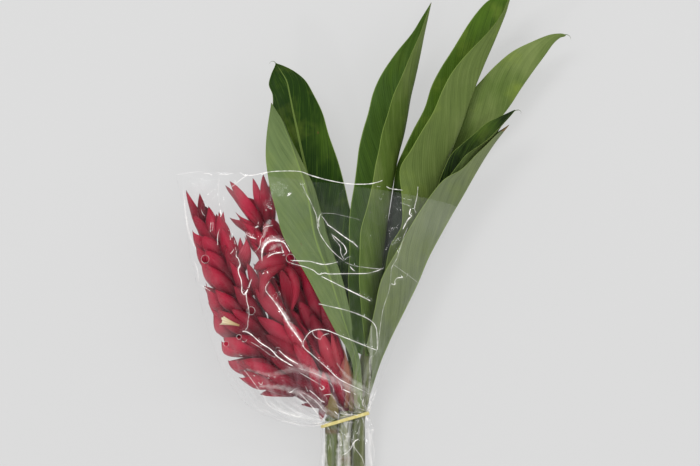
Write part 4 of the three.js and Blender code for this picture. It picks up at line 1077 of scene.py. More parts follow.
sleeveLook = {
    "stations": [  # left edge x y z, right edge x y z, top height, underside height, squareness
        (-168, 245, 42, 113, 211, 46, 89, -6, 2.3),
        (-162, 210, 42, 104, 193, 44, 92, -6, 2.3),
        (-155, 170, 42, 91, 168, 44, 94, -6, 2.3),
        (-148.5, 140, 42, 79, 144, 44, 94, -6, 2.3),
        (-142, 112, 42, 66, 116, 44, 94, -6, 2.3),
        (-134.5, 82, 42, 54, 88, 44, 93, -6, 2.3),
        (-126, 56, 41, 43.5, 64, 44, 93, -6, 2.3),
        (-114, 34, 40, 37, 48, 42, 90, -4, 2.3),
        (-97, 14, 38, 32, 35, 39, 80, 2, 2.3),
        (-69, 1, 37, 28, 25, 37, 70, 10, 2.4),
        (-41, -5, 36, 25, 15, 35, 55, 19, 3),
        (-22.4, -3.3, 34, 22.8, 9.9, 34, 41.9, 26.1, 6),
        (-22.4, -6.6, 34, 22.4, 6.6, 34, 41.9, 26.1, 6),
        (-22.4, -9.9, 34, 22.4, 3.3, 34, 41.9, 26.1, 6),
        (-22.6, -18, 34, 28, -8, 34, 43, 24, 3.2),
        (-23.5, -34, 33, 29.5, -28, 33, 46, 19, 2.6),
        (-25.5, -62, 31, 30.5, -60, 31, 46, 13, 2.4),
        (-29, -102, 28, 34, -102, 28, 44, 6, 2.3),
        (-33, -142, 24, 38, -142, 24, 42, 1, 2.2),
    ],
    "rowsPerSpan": [18] * 7 + [9] * 4 + [4] * 2 + [10] * 5,
    "topColumns": 250, "underColumns": 80, "tieStation": 12, "mouthTop": 10,
    "undulation": 3.2, "crumple": 1.5, "small": 0.35, "gathers": 2.6, "pleats": 19,
    "undulationSize": (62, 62, 3.1), "crumpleSize": (17, 21), "smallSize": (8, 9, 7),
    "patchSize": (50, 50, 9), "pleatSize": (25, 40, 1.7), "ridge": 2.2,
    "creaseLift": 1.8, "creaseReach": 2.4, "creaseBright": 0.25, "restsBelow": 3,
    "gathersReach": 7.5, "bandReach": 1.2,  # in stations from the tie
    "holes": [(-54, 162, 4.2), (-139, 161, 4.0), (-93, 110, 4.0), (-118, 77, 2.6), (-105, 84, 2.4)],
    "holeRim": 0.35, "glintLift": 0.15, "glintDome": 0.3, "glintSteps": 4,
}
strandLook = {  # places and lengths in stations, widths in millimetres
    "count": 130, "aboveTie": 0.75, "bright": (0.2, 0.8), "above": (7.6, 11.2), "below": (12.8, 17.5),
    "length": (0.25, 0.9), "wide": (0.25, 0.75), "fromEdge": 8, "drift": 10,
}
# sharp fold lines, each lifted into a ridge in the film and drawn over it as a glowing strip of painted
# highlight: how bright, then x, y and half the width of the line
foldsAndGlints = [
    (0.85, [(-83, 244.5, 0.5), (-75, 247.5, 0.6), (-61, 248.4, 0.6), (-45, 248, 0.8), (-35, 244.5, 0.9),
        (-25, 241.5, 0.9), (-15, 239, 0.8), (-5, 237, 0.8), (5, 235.7, 0.9), (15, 235.3, 0.9),
        (25, 235.8, 0.9), (32, 237.3, 0.8), (37, 239, 0.5)]),
    (0.9, [(-104, 247, 0.4), (-100, 244.5, 0.7), (-97, 244, 0.7), (-90, 244.5, 0.6), (-83, 246, 0.5),
        (-77, 247.5, 0.4)]),
    (0.7, [(-97, 244, 0.6), (-102, 241, 0.5), (-107, 237, 0.5), (-113, 232, 0.3)]),
    (0.7, [(-140, 246, 0.4), (-135, 246, 0.5), (-132, 244.5, 0.5)]),
    (0.7, [(-125, 245.5, 0.4), (-118, 245, 0.5), (-111, 246.5, 0.4)]),
    (0.4, [(-168, 245, 0.4), (-155, 247, 0.4), (-141, 248.5, 0.3)]),
    (0.8, [(32, 233, 0.5), (35, 232.8, 0.4)]),
    (0.95, [(41, 233.2, 0.5), (45, 231, 0.8), (51, 230.2, 0.7), (57, 229.5, 0.5)]),
    (0.5, [(55, 217, 0.4), (60, 215.5, 0.5), (65, 213.5, 0.4)]),
    (0.55, [(72.5, 233, 0.5), (71.5, 223, 0.6), (69, 212, 0.5), (70.5, 207, 0.6)]),
    (1, [(65, 211, 0.6), (64, 206, 0.9), (66, 204, 0.9), (63, 201, 1), (60, 196, 0.9), (57.5, 191, 0.5)]),
    (0.45, [(62, 192, 0.4), (58.5, 184, 0.5), (57, 179, 0.4), (54.5, 171, 0.5), (51.5, 162, 0.4),
        (48, 156, 0.5), (46, 152, 0.4)]),
    (0.35, [(46, 152, 0.4), (44, 131.3, 0.5), (37.6, 110.6, 0.5), (34, 85, 0.5), (32.5, 72, 0.4)]),
    (0.35, [(48.8, 155.2, 0.4), (60, 147, 0.5), (72.7, 137.7, 0.4)]),
    (1, [(46, 136.7, 0.5), (49.5, 136, 0.9), (49.5, 139.5, 0.8), (52, 142.4, 0.9), (57.5, 142.8, 0.6)]),
    (0.45, [(61, 143, 0.4), (62.5, 147, 0.5)]),
    (0.5, [(-42, 234, 0.7), (-38, 225, 0.7), (-35, 220, 0.6), (-31, 211, 0.6), (-28, 203, 0.7),
        (-27, 193, 0.6)]),
    (0.75, [(-27, 193, 0.5), (-25, 187, 0.6), (-21, 180, 0.6), (-15, 172, 0.6), (-9, 166, 0.6),
        (-2, 160, 0.4)]),
    (0.95, [(-25.7, 193, 0.4), (-26, 199, 0.8), (-25, 204, 0.9), (-23.8, 205.7, 0.5)]),
    (0.5, [(-23, 204, 0.4), (-20, 200, 0.7), (-17, 195.5, 0.8)]),
    (1, [(-17.5, 195.5, 0.6), (-11, 191, 1), (-3, 185, 0.9), (5, 179.5, 0.9), (8, 177.7, 1.2),
        (12.5, 173.3, 0.4)]),
    (0.25, [(-24, 206.5, 0.5), (-15, 206.5, 0.6), (-5, 205, 0.6), (15, 200, 0.5)]),
    (0.75, [(-13, 186, 0.4), (-10.5, 181, 0.6), (-7, 177, 0.7), (-4.5, 173, 0.7), (-4, 167, 0.5),
        (-1, 161, 0.3)]),
    (0.8, [(-12, 185, 0.4), (-8, 181.5, 0.7), (-4, 178, 0.8), (-1, 175, 0.7), (1, 171, 0.9),
        (1.5, 168, 0.7), (-1, 165, 0.5)]),
    (0.5, [(-2, 160, 0.3), (1, 162, 0.4), (6, 164, 0.3)]),
    (0.5, [(0, 158, 0.4), (10, 154.5, 0.6), (20, 153, 0.5), (33, 151.5, 0.5), (37, 152, 0.3)]),
    (0.85, [(5, 154, 0.4), (7, 151.5, 0.8), (9.5, 149.5, 0.5)]),
    (0.9, [(-54, 160, 0.5), (-45, 159.5, 0.7), (-35, 159, 0.6), (-29, 157.5, 0.8), (-22, 156, 1),
        (-15, 156.5, 0.7), (-7, 158.5, 0.5)]),
    (0.85, [(-53, 157, 0.4), (-45, 155, 0.6), (-38, 153, 0.6), (-31, 150, 0.6), (-26, 146.3, 0.8),
        (-20, 147.4, 0.8), (-15, 146.5, 0.7), (0, 146.8, 0.6), (21, 147, 0.6), (28, 148.5, 0.5),
        (33, 150, 0.6), (36, 151.7, 0.4)]),
    (1, [(-23, 144, 0.5), (-15, 140, 0.7), (-5, 135, 0.8), (5, 130, 1), (15, 125, 0.8), (25, 120, 0.5)]),
    (0.8, [(-26, 117, 0.6), (-15, 114.5, 0.7), (0, 111, 0.6), (12, 107, 0.6), (21, 103, 0.7),
        (27, 99, 0.7), (30, 95, 0.7), (31.5, 90, 0.6), (32, 80, 0.6), (32, 71, 0.5)]),
    (0.35, [(32, 70, 0.4), (29, 66, 0.5), (25, 63, 0.5), (24.5, 55, 0.5), (25, 45, 0.5), (24.5, 32, 0.4)]),
    (0.9, [(-41.5, 78, 0.5), (-41, 80, 0.6), (-39, 83.5, 0.6), (-36, 87.5, 0.7), (-33, 89.8, 0.8),
        (-29, 91.2, 0.8), (-25, 91.8, 0.9), (-20, 91.2, 0.8), (-15, 89.7, 0.7), (-9, 87.2, 0.7),
        (0, 83.5, 0.8), (10, 79.5, 0.8), (20, 75.3, 0.7), (31.5, 70.7, 0.5)]),
    (0.85, [(-41.5, 78, 0.5), (-41, 75, 0.6), (-39, 72, 0.7), (-33, 67, 0.7), (-25, 60, 0.7),
        (-15, 51, 0.8), (-8, 44, 0.9), (0, 39, 0.7), (10, 34, 0.5), (18, 30, 0.5), (23, 27, 0.4)]),
    (0.7, [(-32, 90, 0.4), (-31.5, 87, 0.6), (-29, 84, 0.6), (-24.5, 82, 0.7), (-23, 84.5, 0.6),
        (-20, 86.5, 0.6), (-16, 87.5, 0.4)]),
    (0.55, [(-75, 139, 0.5), (-77, 136, 0.6), (-78.5, 132, 0.5)]),
    (1, [(-78.5, 133, 0.4), (-78, 129.5, 0.7), (-75, 125.5, 0.9), (-70, 119.5, 1.1), (-64, 111, 1.3),
        (-60, 105, 1.6), (-55, 96, 1.6), (-50, 89, 1.3), (-45, 82, 1.1), (-42.7, 79, 0.4)]),
    (0.35, [(-69, 120, 1.5), (-61, 108, 4.2), (-54, 96, 4.6), (-47, 86, 3), (-42, 79, 1)]),
    (1, [(-82, 159.5, 0.5), (-82.2, 166, 1.2), (-81, 172, 1.7), (-78, 176.5, 2.2), (-74.5, 179, 2.2),
        (-70, 179.7, 1.9), (-65, 179, 1.2), (-60.5, 178, 0.7)]),
    (0.3, [(-83, 168, 1), (-80, 176, 4), (-73, 181, 5.5), (-65, 181, 4), (-60, 177, 1)]),
    (0.95, [(-61, 178.5, 0.6), (-59, 176, 0.8), (-56, 171, 0.7), (-54.5, 168, 0.4)]),
    (1, [(-77, 162.7, 0.4), (-73, 165.5, 0.9), (-68, 167.2, 1), (-63, 167.8, 1.1), (-60.5, 167.7, 0.8)]),
    (0.9, [(-60.5, 167.7, 1.1), (-62, 170.5, 0.8), (-62.5, 174, 0.3)]),
    (0.22, [(-75, 170, 2), (-69, 174, 4.5), (-63, 175, 2)]),
    (0.22, [(-81, 182, 1.5), (-78, 192, 4.5), (-74, 200, 3)]),
    (0.8, [(-81, 191, 0.5), (-79, 193, 0.8), (-75, 194, 0.7), (-71.5, 194.7, 0.5)]),
    (1, [(-89, 192.4, 0.8), (-87.5, 193, 1.5), (-85.5, 193.6, 0.7)]),
    (0.95, [(-99, 186.5, 0.4), (-95, 184, 1), (-93, 183, 1.3), (-88, 181.2, 0.4)]),
    (0.75, [(-81.5, 184, 0.5), (-83.5, 180, 0.7), (-84, 175, 0.6), (-86, 171, 0.6), (-90, 167.5, 0.4)]),
    (0.7, [(-89, 165, 0.6), (-87.8, 161.3, 0.5)]),
    (0.85, [(-81.5, 146.5, 0.5), (-80, 147.7, 0.8)]),
    (1, [(-77, 149.2, 0.7), (-76.2, 147.2, 1)]),
    (0.9, [(-74.5, 212, 0.5), (-72.5, 210.8, 0.8)]),
    (0.8, [(-78.5, 210, 0.7), (-77.5, 209.5, 0.6)]),
    (0.95, [(-57, 223.5, 0.4), (-55.5, 225, 1.2), (-53, 226.5, 0.4)]),
    (0.8, [(-56.5, 226.5, 0.4), (-54.5, 224.5, 0.9)]),
    (0.6, [(-110, 171, 0.4), (-111.5, 168.5, 0.7), (-113.5, 166.5, 0.4)]),
    (0.9, [(-107.5, 169.5, 0.4), (-107.7, 164, 0.8), (-106, 162, 0.8), (-104, 157, 1), (-104.4, 154, 1.3),
        (-105.7, 151, 1.2), (-105, 146, 0.8), (-103, 141, 0.8), (-102.2, 134, 0.8), (-102.2, 129, 0.9),
        (-100, 126, 1.2), (-98, 128, 1.7), (-96, 131.5, 0.5)]),
    (0.7, [(-95, 133, 0.5), (-94.4, 136, 0.9), (-92.5, 141, 0.4)]),
    (0.8, [(-98, 127, 1.3), (-97, 119, 0.7), (-95.5, 113, 0.6), (-95, 106, 0.5), (-96, 100, 0.6),
        (-96.5, 94, 0.7), (-99, 90.5, 0.7)]),
    (1, [(-101.5, 89.7, 0.7), (-98, 89.4, 1.6), (-95, 88, 1.2), (-91, 85, 0.9), (-85, 79.5, 0.9),
        (-80, 76, 1.1), (-75, 73, 0.8), (-71, 69.5, 0.9), (-68, 66, 1), (-63, 62, 1.1), (-57, 58.5, 1.1),
        (-51.5, 55.5, 0.5)]),
    (0.95, [(-65.5, 71.3, 0.4), (-61, 67, 0.9), (-56, 63, 1), (-51, 60, 1.2), (-46.5, 57.5, 0.6)]),
    (0.45, [(-93, 79, 0.4), (-83, 73, 0.6), (-75, 67, 0.6), (-69, 64, 0.4)]),
    (0.65, [(-102, 79.7, 0.4), (-99, 79.2, 0.8), (-97, 81.5, 0.5)]),
    (0.5, [(-105, 66, 0.5), (-102, 65.4, 0.5)]),
    (0.85, [(-124.5, 216.5, 0.6), (-124.7, 214.5, 0.8)]),
    (0.95, [(-123.7, 210, 0.6), (-123, 206, 1.1), (-123.4, 203, 0.6)]),
    (0.25, [(-125, 242, 0.5), (-125.5, 230, 0.5), (-125, 218, 0.5)]),
    (0.8, [(-133, 197.5, 0.4), (-133.5, 192, 0.8), (-133.5, 188, 0.5)]),
    (0.75, [(-131, 197.5, 0.4), (-131.3, 192, 0.7), (-132, 189, 0.4)]),
    (0.65, [(-124.5, 191, 0.4), (-126.3, 184, 0.7), (-126.3, 175, 0.5)]),
    (0.55, [(-114, 185, 0.4), (-113.3, 180, 0.6)]),
    (0.6, [(-110, 180, 0.4), (-108.7, 176, 0.6)]),
    (0.6, [(-143, 210.5, 0.4), (-141.5, 206.5, 0.6), (-139.5, 204, 0.4)]),
    (0.35, [(-161, 230, 0.8), (-159, 205, 1.6), (-155, 185, 1.6), (-148, 170, 0.6)]),
    (0.4, [(-150, 158, 0.5), (-147, 150, 0.8), (-146, 138, 0.4)]),
    (0.6, [(-143, 135, 0.5), (-138, 132, 0.8), (-134, 129.5, 0.4)]),
    (0.6, [(-100, 51, 0.4), (-95, 45, 0.6), (-90, 38, 0.6), (-85, 31, 0.5), (-80, 24, 0.6),
        (-77, 17, 0.5), (-70, 12, 0.6), (-60, 8, 0.5), (-53, 6, 0.6), (-47, 4, 1), (-42, 5.8, 0.5)]),
    (0.5, [(-91, 46, 0.5), (-89, 45.3, 0.8)]),
    (0.45, [(-86, 39, 0.5), (-83, 36.5, 0.8), (-81.5, 39.5, 0.5)]),
    (0.6, [(-70.5, 44.5, 0.6), (-68.5, 44.4, 0.6)]),
    (0.5, [(-56, 29.5, 0.5), (-53, 29, 1), (-51, 31.5, 0.7), (-47, 33.5, 0.4)]),
    (0.8, [(-55, 29, 0.4), (-52, 30.5, 0.9)]),
    (0.95, [(-35, 31, 0.4), (-29, 26, 0.6), (-24, 21, 1.2), (-20, 19, 0.4)]),
    (0.85, [(-2, 32, 0.5), (2, 30, 1.2), (5.5, 28.5, 0.5)]),
    (0.8, [(8.5, 28, 0.5), (10.5, 26.3, 0.9)]),
    (0.7, [(-25, 34, 0.8), (-23, 31.5, 0.9), (-20.5, 33.5, 0.9), (-22.5, 35.5, 0.8)]),
    (0.7, [(-21, 26, 0.4), (-15, 27, 0.6), (-12, 25, 0.6), (-10.5, 22.5, 0.6)]),
    (0.9, [(-10.5, 9.5, 0.5), (-8.5, 7.5, 1), (-7, 5.7, 0.5)]),
    (0.55, [(-45, 28, 0.6), (-39, 22, 1), (-33, 15, 1.2), (-27, 7, 1), (-20, 0, 0.5)]),
    (0.5, [(-42, 29, 0.5), (-34, 24, 0.8), (-27, 18, 0.8), (-20, 9, 0.4)]),
    (0.4, [(-45, 53, 0.5), (-30, 48, 0.8), (-15, 41, 0.5)]),
    (0.4, [(-45, 49, 0.5), (-33, 42, 0.8), (-23, 36, 0.5)]),
    (0.45, [(-39, 35, 0.4), (-37, 30, 0.7)]),
    (0.5, [(-15, 39, 0.5), (-12, 34, 0.8), (-11, 29, 0.4)]),
    (0.5, [(-7, 40, 0.5), (-4, 36, 0.9), (-3, 31, 0.4)]),
    # broad pleats whose faint painted highlight only turns what lies under them whitish
    (0.2, [(-85, 35, 2), (-64, 34, 5), (-44, 28, 6), (-28, 18, 6), (-18, 8, 4)]),
    (0.12, [(-98, 52, 2), (-74, 47, 4), (-47, 52, 6), (-25, 46, 7), (-1, 39, 6), (20, 27, 4)]),
    (0.15, [(-60, 66, 2), (-45, 56, 5), (-20, 45, 6), (0, 35, 6), (20, 24, 4)]),
    (0.2, [(-8, 58, 1), (2, 45, 3), (14, 36, 5), (24, 29, 3)]),
    (0.2, [(-74, 18, 2), (-58, 8, 4), (-40, 4, 5), (-24, 0, 3)]),
    (0.15, [(26, 95, 1.5), (26, 70, 3), (25, 50, 3), (24, 30, 2)]),
    # below the tie
    (0.36, [(-6, -13, 3), (-5, -24, 5), (-6, -36, 6), (-6, -50, 6)]),
    (0.3, [(3, -13, 3), (1, -26, 5), (3, -38, 5), (3, -50, 5)]),
    (0.3, [(-19, -14, 1.5), (-20, -30, 2.5), (-18, -50, 3)]),
    (0.3, [(23, -8, 1), (25, -20, 3), (25, -34, 3.5), (27, -50, 3)]),
    (0.8, [(-3, -35, 0.4), (2, -32.5, 0.8), (6, -28, 0.9), (9, -22, 0.9), (13.5, -19, 0.5)]),
    (0.5, [(5, -18, 0.4), (10, -28, 0.6), (17, -38, 0.6), (20, -48, 0.4)]),
    (0.6, [(20, -12, 0.5), (24, -11, 0.8), (29, -9.5, 0.4)]),
    (0.45, [(29, -9.5, 0.4), (26, -16, 0.6), (29, -28, 0.5), (29, -40, 0.4)]),
    (0.5, [(-1, -14, 0.5), (2, -17, 0.9), (6, -16, 0.5)]),
]


def sleevePoint(station, u, turn):
    lx, ly, lz, rx, ry, rz, top, under, square = station
    angle = 2 * math.pi * turn
    rise, aside = math.sin(angle), math.cos(angle)
    share = 0.5 - 0.5 * math.copysign(abs(aside) ** (2 / square), aside)
    reach = abs(rise) ** (2 / square)
    z = mix(mix(lz, rz, share), top if rise > 0 else under, reach)
    mouth = max(0, 1 - u * 6) * max(rise, 0) * sleeveLook["mouthTop"]
    return (mix(lx, rx, share), mix(ly, ry, share) + mouth, max(z, 0))


def nearLine(xy, path, reach=12):  # distance of many points to a line, exact within the reach
    line = np.array([p[:2] for p in path])
    best = np.full(len(xy), 1e3)
    close = ((xy > line.min(0) - reach) & (xy < line.max(0) + reach)).all(axis=1)
    near = xy[close]
    away = np.full(len(near), 1e3)
    for a, b in zip(line[:-1], line[1:]):
        run = b - a
        t = np.clip(((near - a) @ run) / max(run @ run, 1e-9), 0, 1)
        away = np.minimum(away, np.hypot(*(near - a - t[:, None] * run).T))
    best[close] = away
    return best


def fade(values, start, length, least=0):  # from least to 1 over this length
    return np.clip((values - start) / length, least, 1)


def waves(p, across, along, shift=0):  # smooth noise with hills of these sizes; a shift gives other hills
    return noise.noise(Vector((p[0] / across, p[1] / along, p[2] / across + shift)))


def smoothPath(path, step=1.2):
    length = sum(math.dist(a[:2], b[:2]) for a, b in zip(path[:-1], path[1:]))
    count = max(6, int(length / step))
    return [splineAt(path, i / count) for i in range(count + 1)]


def filmMaterial():
    material, tree = clearMaterial("clearFilm")
    facing = addNode(tree, "ShaderNodeLayerWeight", {"Blend": 0.5}).outputs["Facing"]
    cloud = objectNoise(tree, 18, 4, (1, 1, 1), 0.6)
    crease, gather = mark(tree, "crease"), mark(tree, "gather")
    mirror = plus(tree, times(tree, calc(tree, "POWER", facing, 3.5), 0.34), 0.007)
    # creased film is whiter and glossier: partly stress-whitened, partly painted highlight
    mirror = plus(tree, mirror, times(tree, crease, 0.15), clampIt=True)
    clear = addOut(tree, "ShaderNodeBsdfTransparent", {"Color": (0.997, 0.997, 0.997, 1)})
    gloss = addOut(tree, "ShaderNodeBsdfGlossy", {"Color": (1, 1, 1, 1), "Roughness": 0.09})
    shine = addOut(tree, "ShaderNodeMixShader", {0: mirror, 1: clear, 2: gloss})
    # near the heads the milk turns pink: a painted glow of red light from the bracts under the film
    rosy = times(tree, mark(tree, "rosy"), 0.8)
    milk = blendColor(tree, rosy, (0.95, 0.95, 0.96, 1), (0.86, 0.42, 0.52, 1))
    milk = addOut(tree, "ShaderNodeBsdfDiffuse", {"Color": milk})
    # whitish where many layers lie over each other, in strands towards the tie
    strands = flatNoise(tree, times(tree, mark(tree, "strand"), 70), times(tree, gather, 3), 3.0)
    layers = times(tree, gather, span(tree, strands, 0.46, 0.64, 0.03, 0.55))
    # painted sheen: whitish milk where the film would reflect the window
    veil = times(tree, mark(tree, "veil"), span(tree, cloud, 0.3, 0.75, 0.03, 0.12))
    haze = plus(tree, span(tree, cloud, 0.35, 0.8, 0.0, 0.012), times(tree, crease, 0.06))
    haze = plus(tree, plus(tree, haze, veil), layers, clampIt=True)
    endClear(tree, addOut(tree, "ShaderNodeMixShader", {0: haze, 1: shine, 2: milk}), clear)
    return material


def paintedGlintMaterial():  # painted highlight that glows, bright along the middle of the line and clear at its sides
    material, tree = clearMaterial("filmFold")
    across = mark(tree, "across")
    body = calc(tree, "SUBTRACT", 1, times(tree, across, across), clampIt=True)
    body = calc(tree, "POWER", body, 1.3)
    broken = span(tree, objectNoise(tree, 160, 3), 0.32, 0.58, 0.3, 1.0)
    strength = calc(tree, "MULTIPLY", times(tree, broken, mark(tree, "bright")), body, clampIt=True)
    clear = addOut(tree, "ShaderNodeBsdfTransparent")
    white = addOut(tree, "ShaderNodeBsdfPrincipled", {
        "Base Color": srgb(250, 248, 244), "Roughness": 0.3, "Emission Color": srgb(255, 250, 246),
        "Emission Strength": 0.35,
    })
    endClear(tree, addOut(tree, "ShaderNodeMixShader", {0: strength, 1: clear, 2: white}), clear)
    return material


spans = len(sleeveLook["stations"]) - 1


def filmGrid():  # how far each row is along the sleeve, how far each column is round it, and the bare form
    rows = [0.0]
    for number, count in enumerate(sleeveLook["rowsPerSpan"]):
        rows += [(number + (i + 1) / count) / spans for i in range(count)]
    top, under = sleeveLook["topColumns"], sleeveLook["underColumns"]
    turns = [0.5 * c / top for c in range(top)] + [0.5 + 0.5 * c / under for c in range(under)]
    base = [[sleevePoint(splineAt(sleeveLook["stations"], u), u, t) for t in turns] for u in rows]
    return np.array(rows), turns, np.array(base)


def outwardOf(base):
    across = np.roll(base, -1, 1) - np.roll(base, 1, 1)
    normal = np.cross(across, np.gradient(base, axis=0))
    normal /= np.maximum(np.linalg.norm(normal, axis=2, keepdims=True), 1e-9)
    outside = ((base - base.mean(axis=1, keepdims=True)) * normal).sum() >= 0
    return normal if outside else -normal


def crumpled(base, turns, nearTie):  # lift, and whitening that is partly painted highlight, from soft waves, ridges and the gathers at the tie
    look = sleeveLook
    lift, crease = np.zeros(base.shape[:2]), np.zeros(base.shape[:2])
    for r, near in enumerate(nearTie[:, 0]):
        for c, turn in enumerate(turns):
            p = base[r, c]
            flat = (p[0], p[1], 0)
            ridged = max(1 - abs(waves(p, *look["crumpleSize"])) * look["ridge"], 0)
            small = max(1 - abs(waves(p, *look["smallSize"])) * look["ridge"], 0)
            sway = 2.5 * waves(flat, *look["pleatSize"])
            fold = math.sin(2 * math.pi * turn * look["pleats"] + sway)
            lift[r, c] = look["undulation"] * waves(p, *look["undulationSize"])
            lift[r, c] += look["crumple"] * ridged ** 3 * (0.45 + 0.8 * waves(flat, *look["patchSize"]))
            lift[r, c] += look["small"] * small ** 2 * (0.4 + near)
            lift[r, c] += look["gathers"] * near ** 2.2 * (0.6 + 0.6 * fold)
            crease[r, c] = 0.25 * ridged ** 8 * (0.3 + near) + 0.35 * near ** 3 * max(fold, 0) ** 10
    return lift, crease


def punchHoles(points, faces):  # without the faces in a hole, and with its edge round
    holes = sleeveLook["holes"]
    drop = np.zeros(len(points), bool)
    for x, y, radius in holes:
        away = np.hypot(points[:, 0] - x, points[:, 1] - y)
        drop |= (away < radius) & (points[:, 2] > 45)
    cut = [f for f in faces if any(drop[i] for i in f)]
    faces = [f for f in faces if not any(drop[i] for i in f)]
    for i in {i for f in cut for i in f if not drop[i]}:
        x, y, radius = min(holes, key=lambda hole: math.dist(hole[:2], points[i][:2]))
        away = max(math.dist((x, y), points[i][:2]), 1e-6)
        points[i][0] = x + (points[i][0] - x) * radius / away
        points[i][1] = y + (points[i][1] - y) * radius / away
    kept = np.flatnonzero(~drop)
    newNumber = np.full(len(points), -1)
    newNumber[kept] = np.arange(len(kept))
    return kept, [tuple(int(newNumber[i]) for i in f) for f in faces]


def filmWhitishAndSheen(base, onTop, nearTie, below):  # where the film is whitish from its layers, where it gets painted sheen, and where it lies on the bracts and gets a painted pink glow
    x, y = base[:, :, 0], base[:, :, 1]
    gather = nearTie ** 1.4 * (0.35 + 0.65 * onTop)
    gather *= np.where(below, 0.3 + 0.8 * np.exp(-((x - 1) / 6.5) ** 2), 1)
    veil = fade(-x, 55, 60, 0.1)  # painted sheen where the film slopes to the window
    veil += 0.4 * fade(x, 10, 40) * fade(y, 150, 50)
    xy = base[:, :, :2].reshape(-1, 2)
    axes = [[splineAt(head["axis"], k / 12) for k in range(13)] for head in (headLeft, headRight)]
    toHeads = np.minimum(*(nearLine(xy, axis, 40) for axis in axes))
    # how near the heads lie, for the painted pink glow
    rosy = np.clip(1.6 - toHeads / 16, 0, 1).reshape(x.shape)
    veil *= onTop * (1 - 0.93 * rosy)
    return {"gather": gather, "veil": veil, "rosy": rosy * fade(y, 4, 25)}


def makeFilm():
    look = sleeveLook
    rows, turns, base = filmGrid()
    where = rows * spans
    fromTie = np.abs(where - look["tieStation"])
    nearTie = np.clip(1 - fromTie / look["gathersReach"], 0, 1)[:, None]
    held = np.clip(fromTie / look["bandReach"], 0, 1)[:, None]  # no lift under the band
    upper = np.array([math.sin(2 * math.pi * t) for t in turns])
    onTop = np.clip(upper * 3, 0, 1)[None, :]
    lift, crease = crumpled(base, turns, nearTie)
    xy = base[:, :, :2].reshape(-1, 2)
    for bright, path in foldsAndGlints:
        width = max(p[2] for p in path)
        away = nearLine(xy, smoothPath(path, 2.5)).reshape(lift.shape)
        lift += onTop * min(0.5 + width, look["creaseLift"]) * bright * np.exp(-away / look["creaseReach"])
        # along each fold line the film is whitened with painted highlight
        crease += onTop * bright * look["creaseBright"] * np.exp(-(away / (0.6 + width)) ** 2)
    lift = np.where(nearTie > 0.55, np.maximum(lift, 0.15), lift) * held
    resting = base[:, :, 2] < look["restsBelow"]
    lift = np.where(resting, np.clip(lift, -0.1, 0.1), lift)
    points = base + outwardOf(base) * lift[:, :, None]
    points[:, :, 2] = np.maximum(points[:, :, 2], 0)
    flat = points.reshape(-1, 3)
    kept, faces = punchHoles(flat, gridFaces(len(rows), len(turns), wrap=True))
    marks = {"crease": np.clip(crease, 0, 1), "strand": np.tile(turns, (len(rows), 1))}
    marks.update(filmWhitishAndSheen(base, onTop, nearTie, (where > look["tieStation"] + 0.3)[:, None]))
    marks = {label: values.ravel()[kept] for label, values in marks.items()}
    film = newPiece("film_sleeve", flat[kept], faces, filmMaterial(), marks)
    standFor(film, "film", "sleeve")
    return film, points, rows


def glintStripTree():  # a flat domed strip along every line of the source mesh, as wide as its points say
    tree, given, result = newTree("filmFolds", [("Dome", "Float"), ("Steps", "Int"), ("Skin", "Material")])
    crest = addOut(tree, "ShaderNodeCombineXYZ", {1: given["Dome"]})
    profile = addOut(tree, "GeometryNodeCurveQuadraticBezier", {
        "Resolution": given["Steps"], "Start": (-1, 0, 0), "Middle": crest, "End": (1, 0, 0),
    })
    sideways = addOut(tree, "ShaderNodeSeparateXYZ", {0: addOut(tree, "GeometryNodeInputPosition")})
    profile = addOut(tree, "GeometryNodeStoreNamedAttribute", {
        "Geometry": profile, "Name": "across", "Value": sideways,
    }, data_type="FLOAT", domain="POINT")
    lines = addOut(tree, "GeometryNodeMeshToCurve", {"Mesh": given["Geometry"]})
    level = addOut(tree, "GeometryNodeSetCurveNormal", {"Curve": lines}, mode="Z_UP")
    wide = addOut(tree, "GeometryNodeInputNamedAttribute", {"Name": "wide"}, data_type="FLOAT")
    level = addOut(tree, "GeometryNodeSetCurveRadius", {"Curve": level, "Radius": wide})
    sweep(tree, given, result, {"Curve": level, "Profile Curve": profile, "Scale": wide})
    return tree


film, filmPoints, filmRows = makeFilm()
topPoints = [p for p in filmPoints.reshape(-1, 3) if p[2] > 40]
topTree = KDTree(len(topPoints))
for number, p in enumerate(topPoints):
    topTree.insert((p[0], p[1], 0), number)
topTree.balance()


def onFilm(x, y):
    near = topTree.find_n((x, y, 0), 3)
    return (x, y, float(max(topPoints[number][2] for _, number, _ in near)) + sleeveLook["glintLift"])


def strandLines():  # short creases that run to the tie and on below it, drawn as strips of painted highlight
    look, edge = strandLook, strandLook["fromEdge"]
    made = []
    for k in range(look["count"]):
        if draw(k, 31) < look["aboveTie"]:
            middle = mix(*look["above"], draw(k, 32) ** 0.6)
        else:
            middle = mix(*look["below"], draw(k, 32))
        reach = mix(*look["length"], draw(k, 33))
        first = filmRows.searchsorted((middle - reach / 2) / spans)
        last = min(filmRows.searchsorted((middle + reach / 2) / spans), len(filmRows) - 1)
        column = int(mix(edge, sleeveLook["topColumns"] - edge, draw(k, 34)))
        drift = look["drift"] * (draw(k, 35) - 0.5)
        count = max(int(last - first), 3)
        points = []
        for i in range(count + 1):
            side = int(round(column + drift * i / count + 1.5 * math.sin(0.9 * i + k)))
            x, y, z = filmPoints[min(first + i, len(filmRows) - 1), side]
            wide = mix(*look["wide"], draw(k, 36)) * math.sin(math.pi * clamp(i / count, 0.06, 0.94))
            points.append((x, y, z + sleeveLook["glintLift"], wide))
        made.append((mix(*look["bright"], draw(k, 37) ** 2), points))
    return made


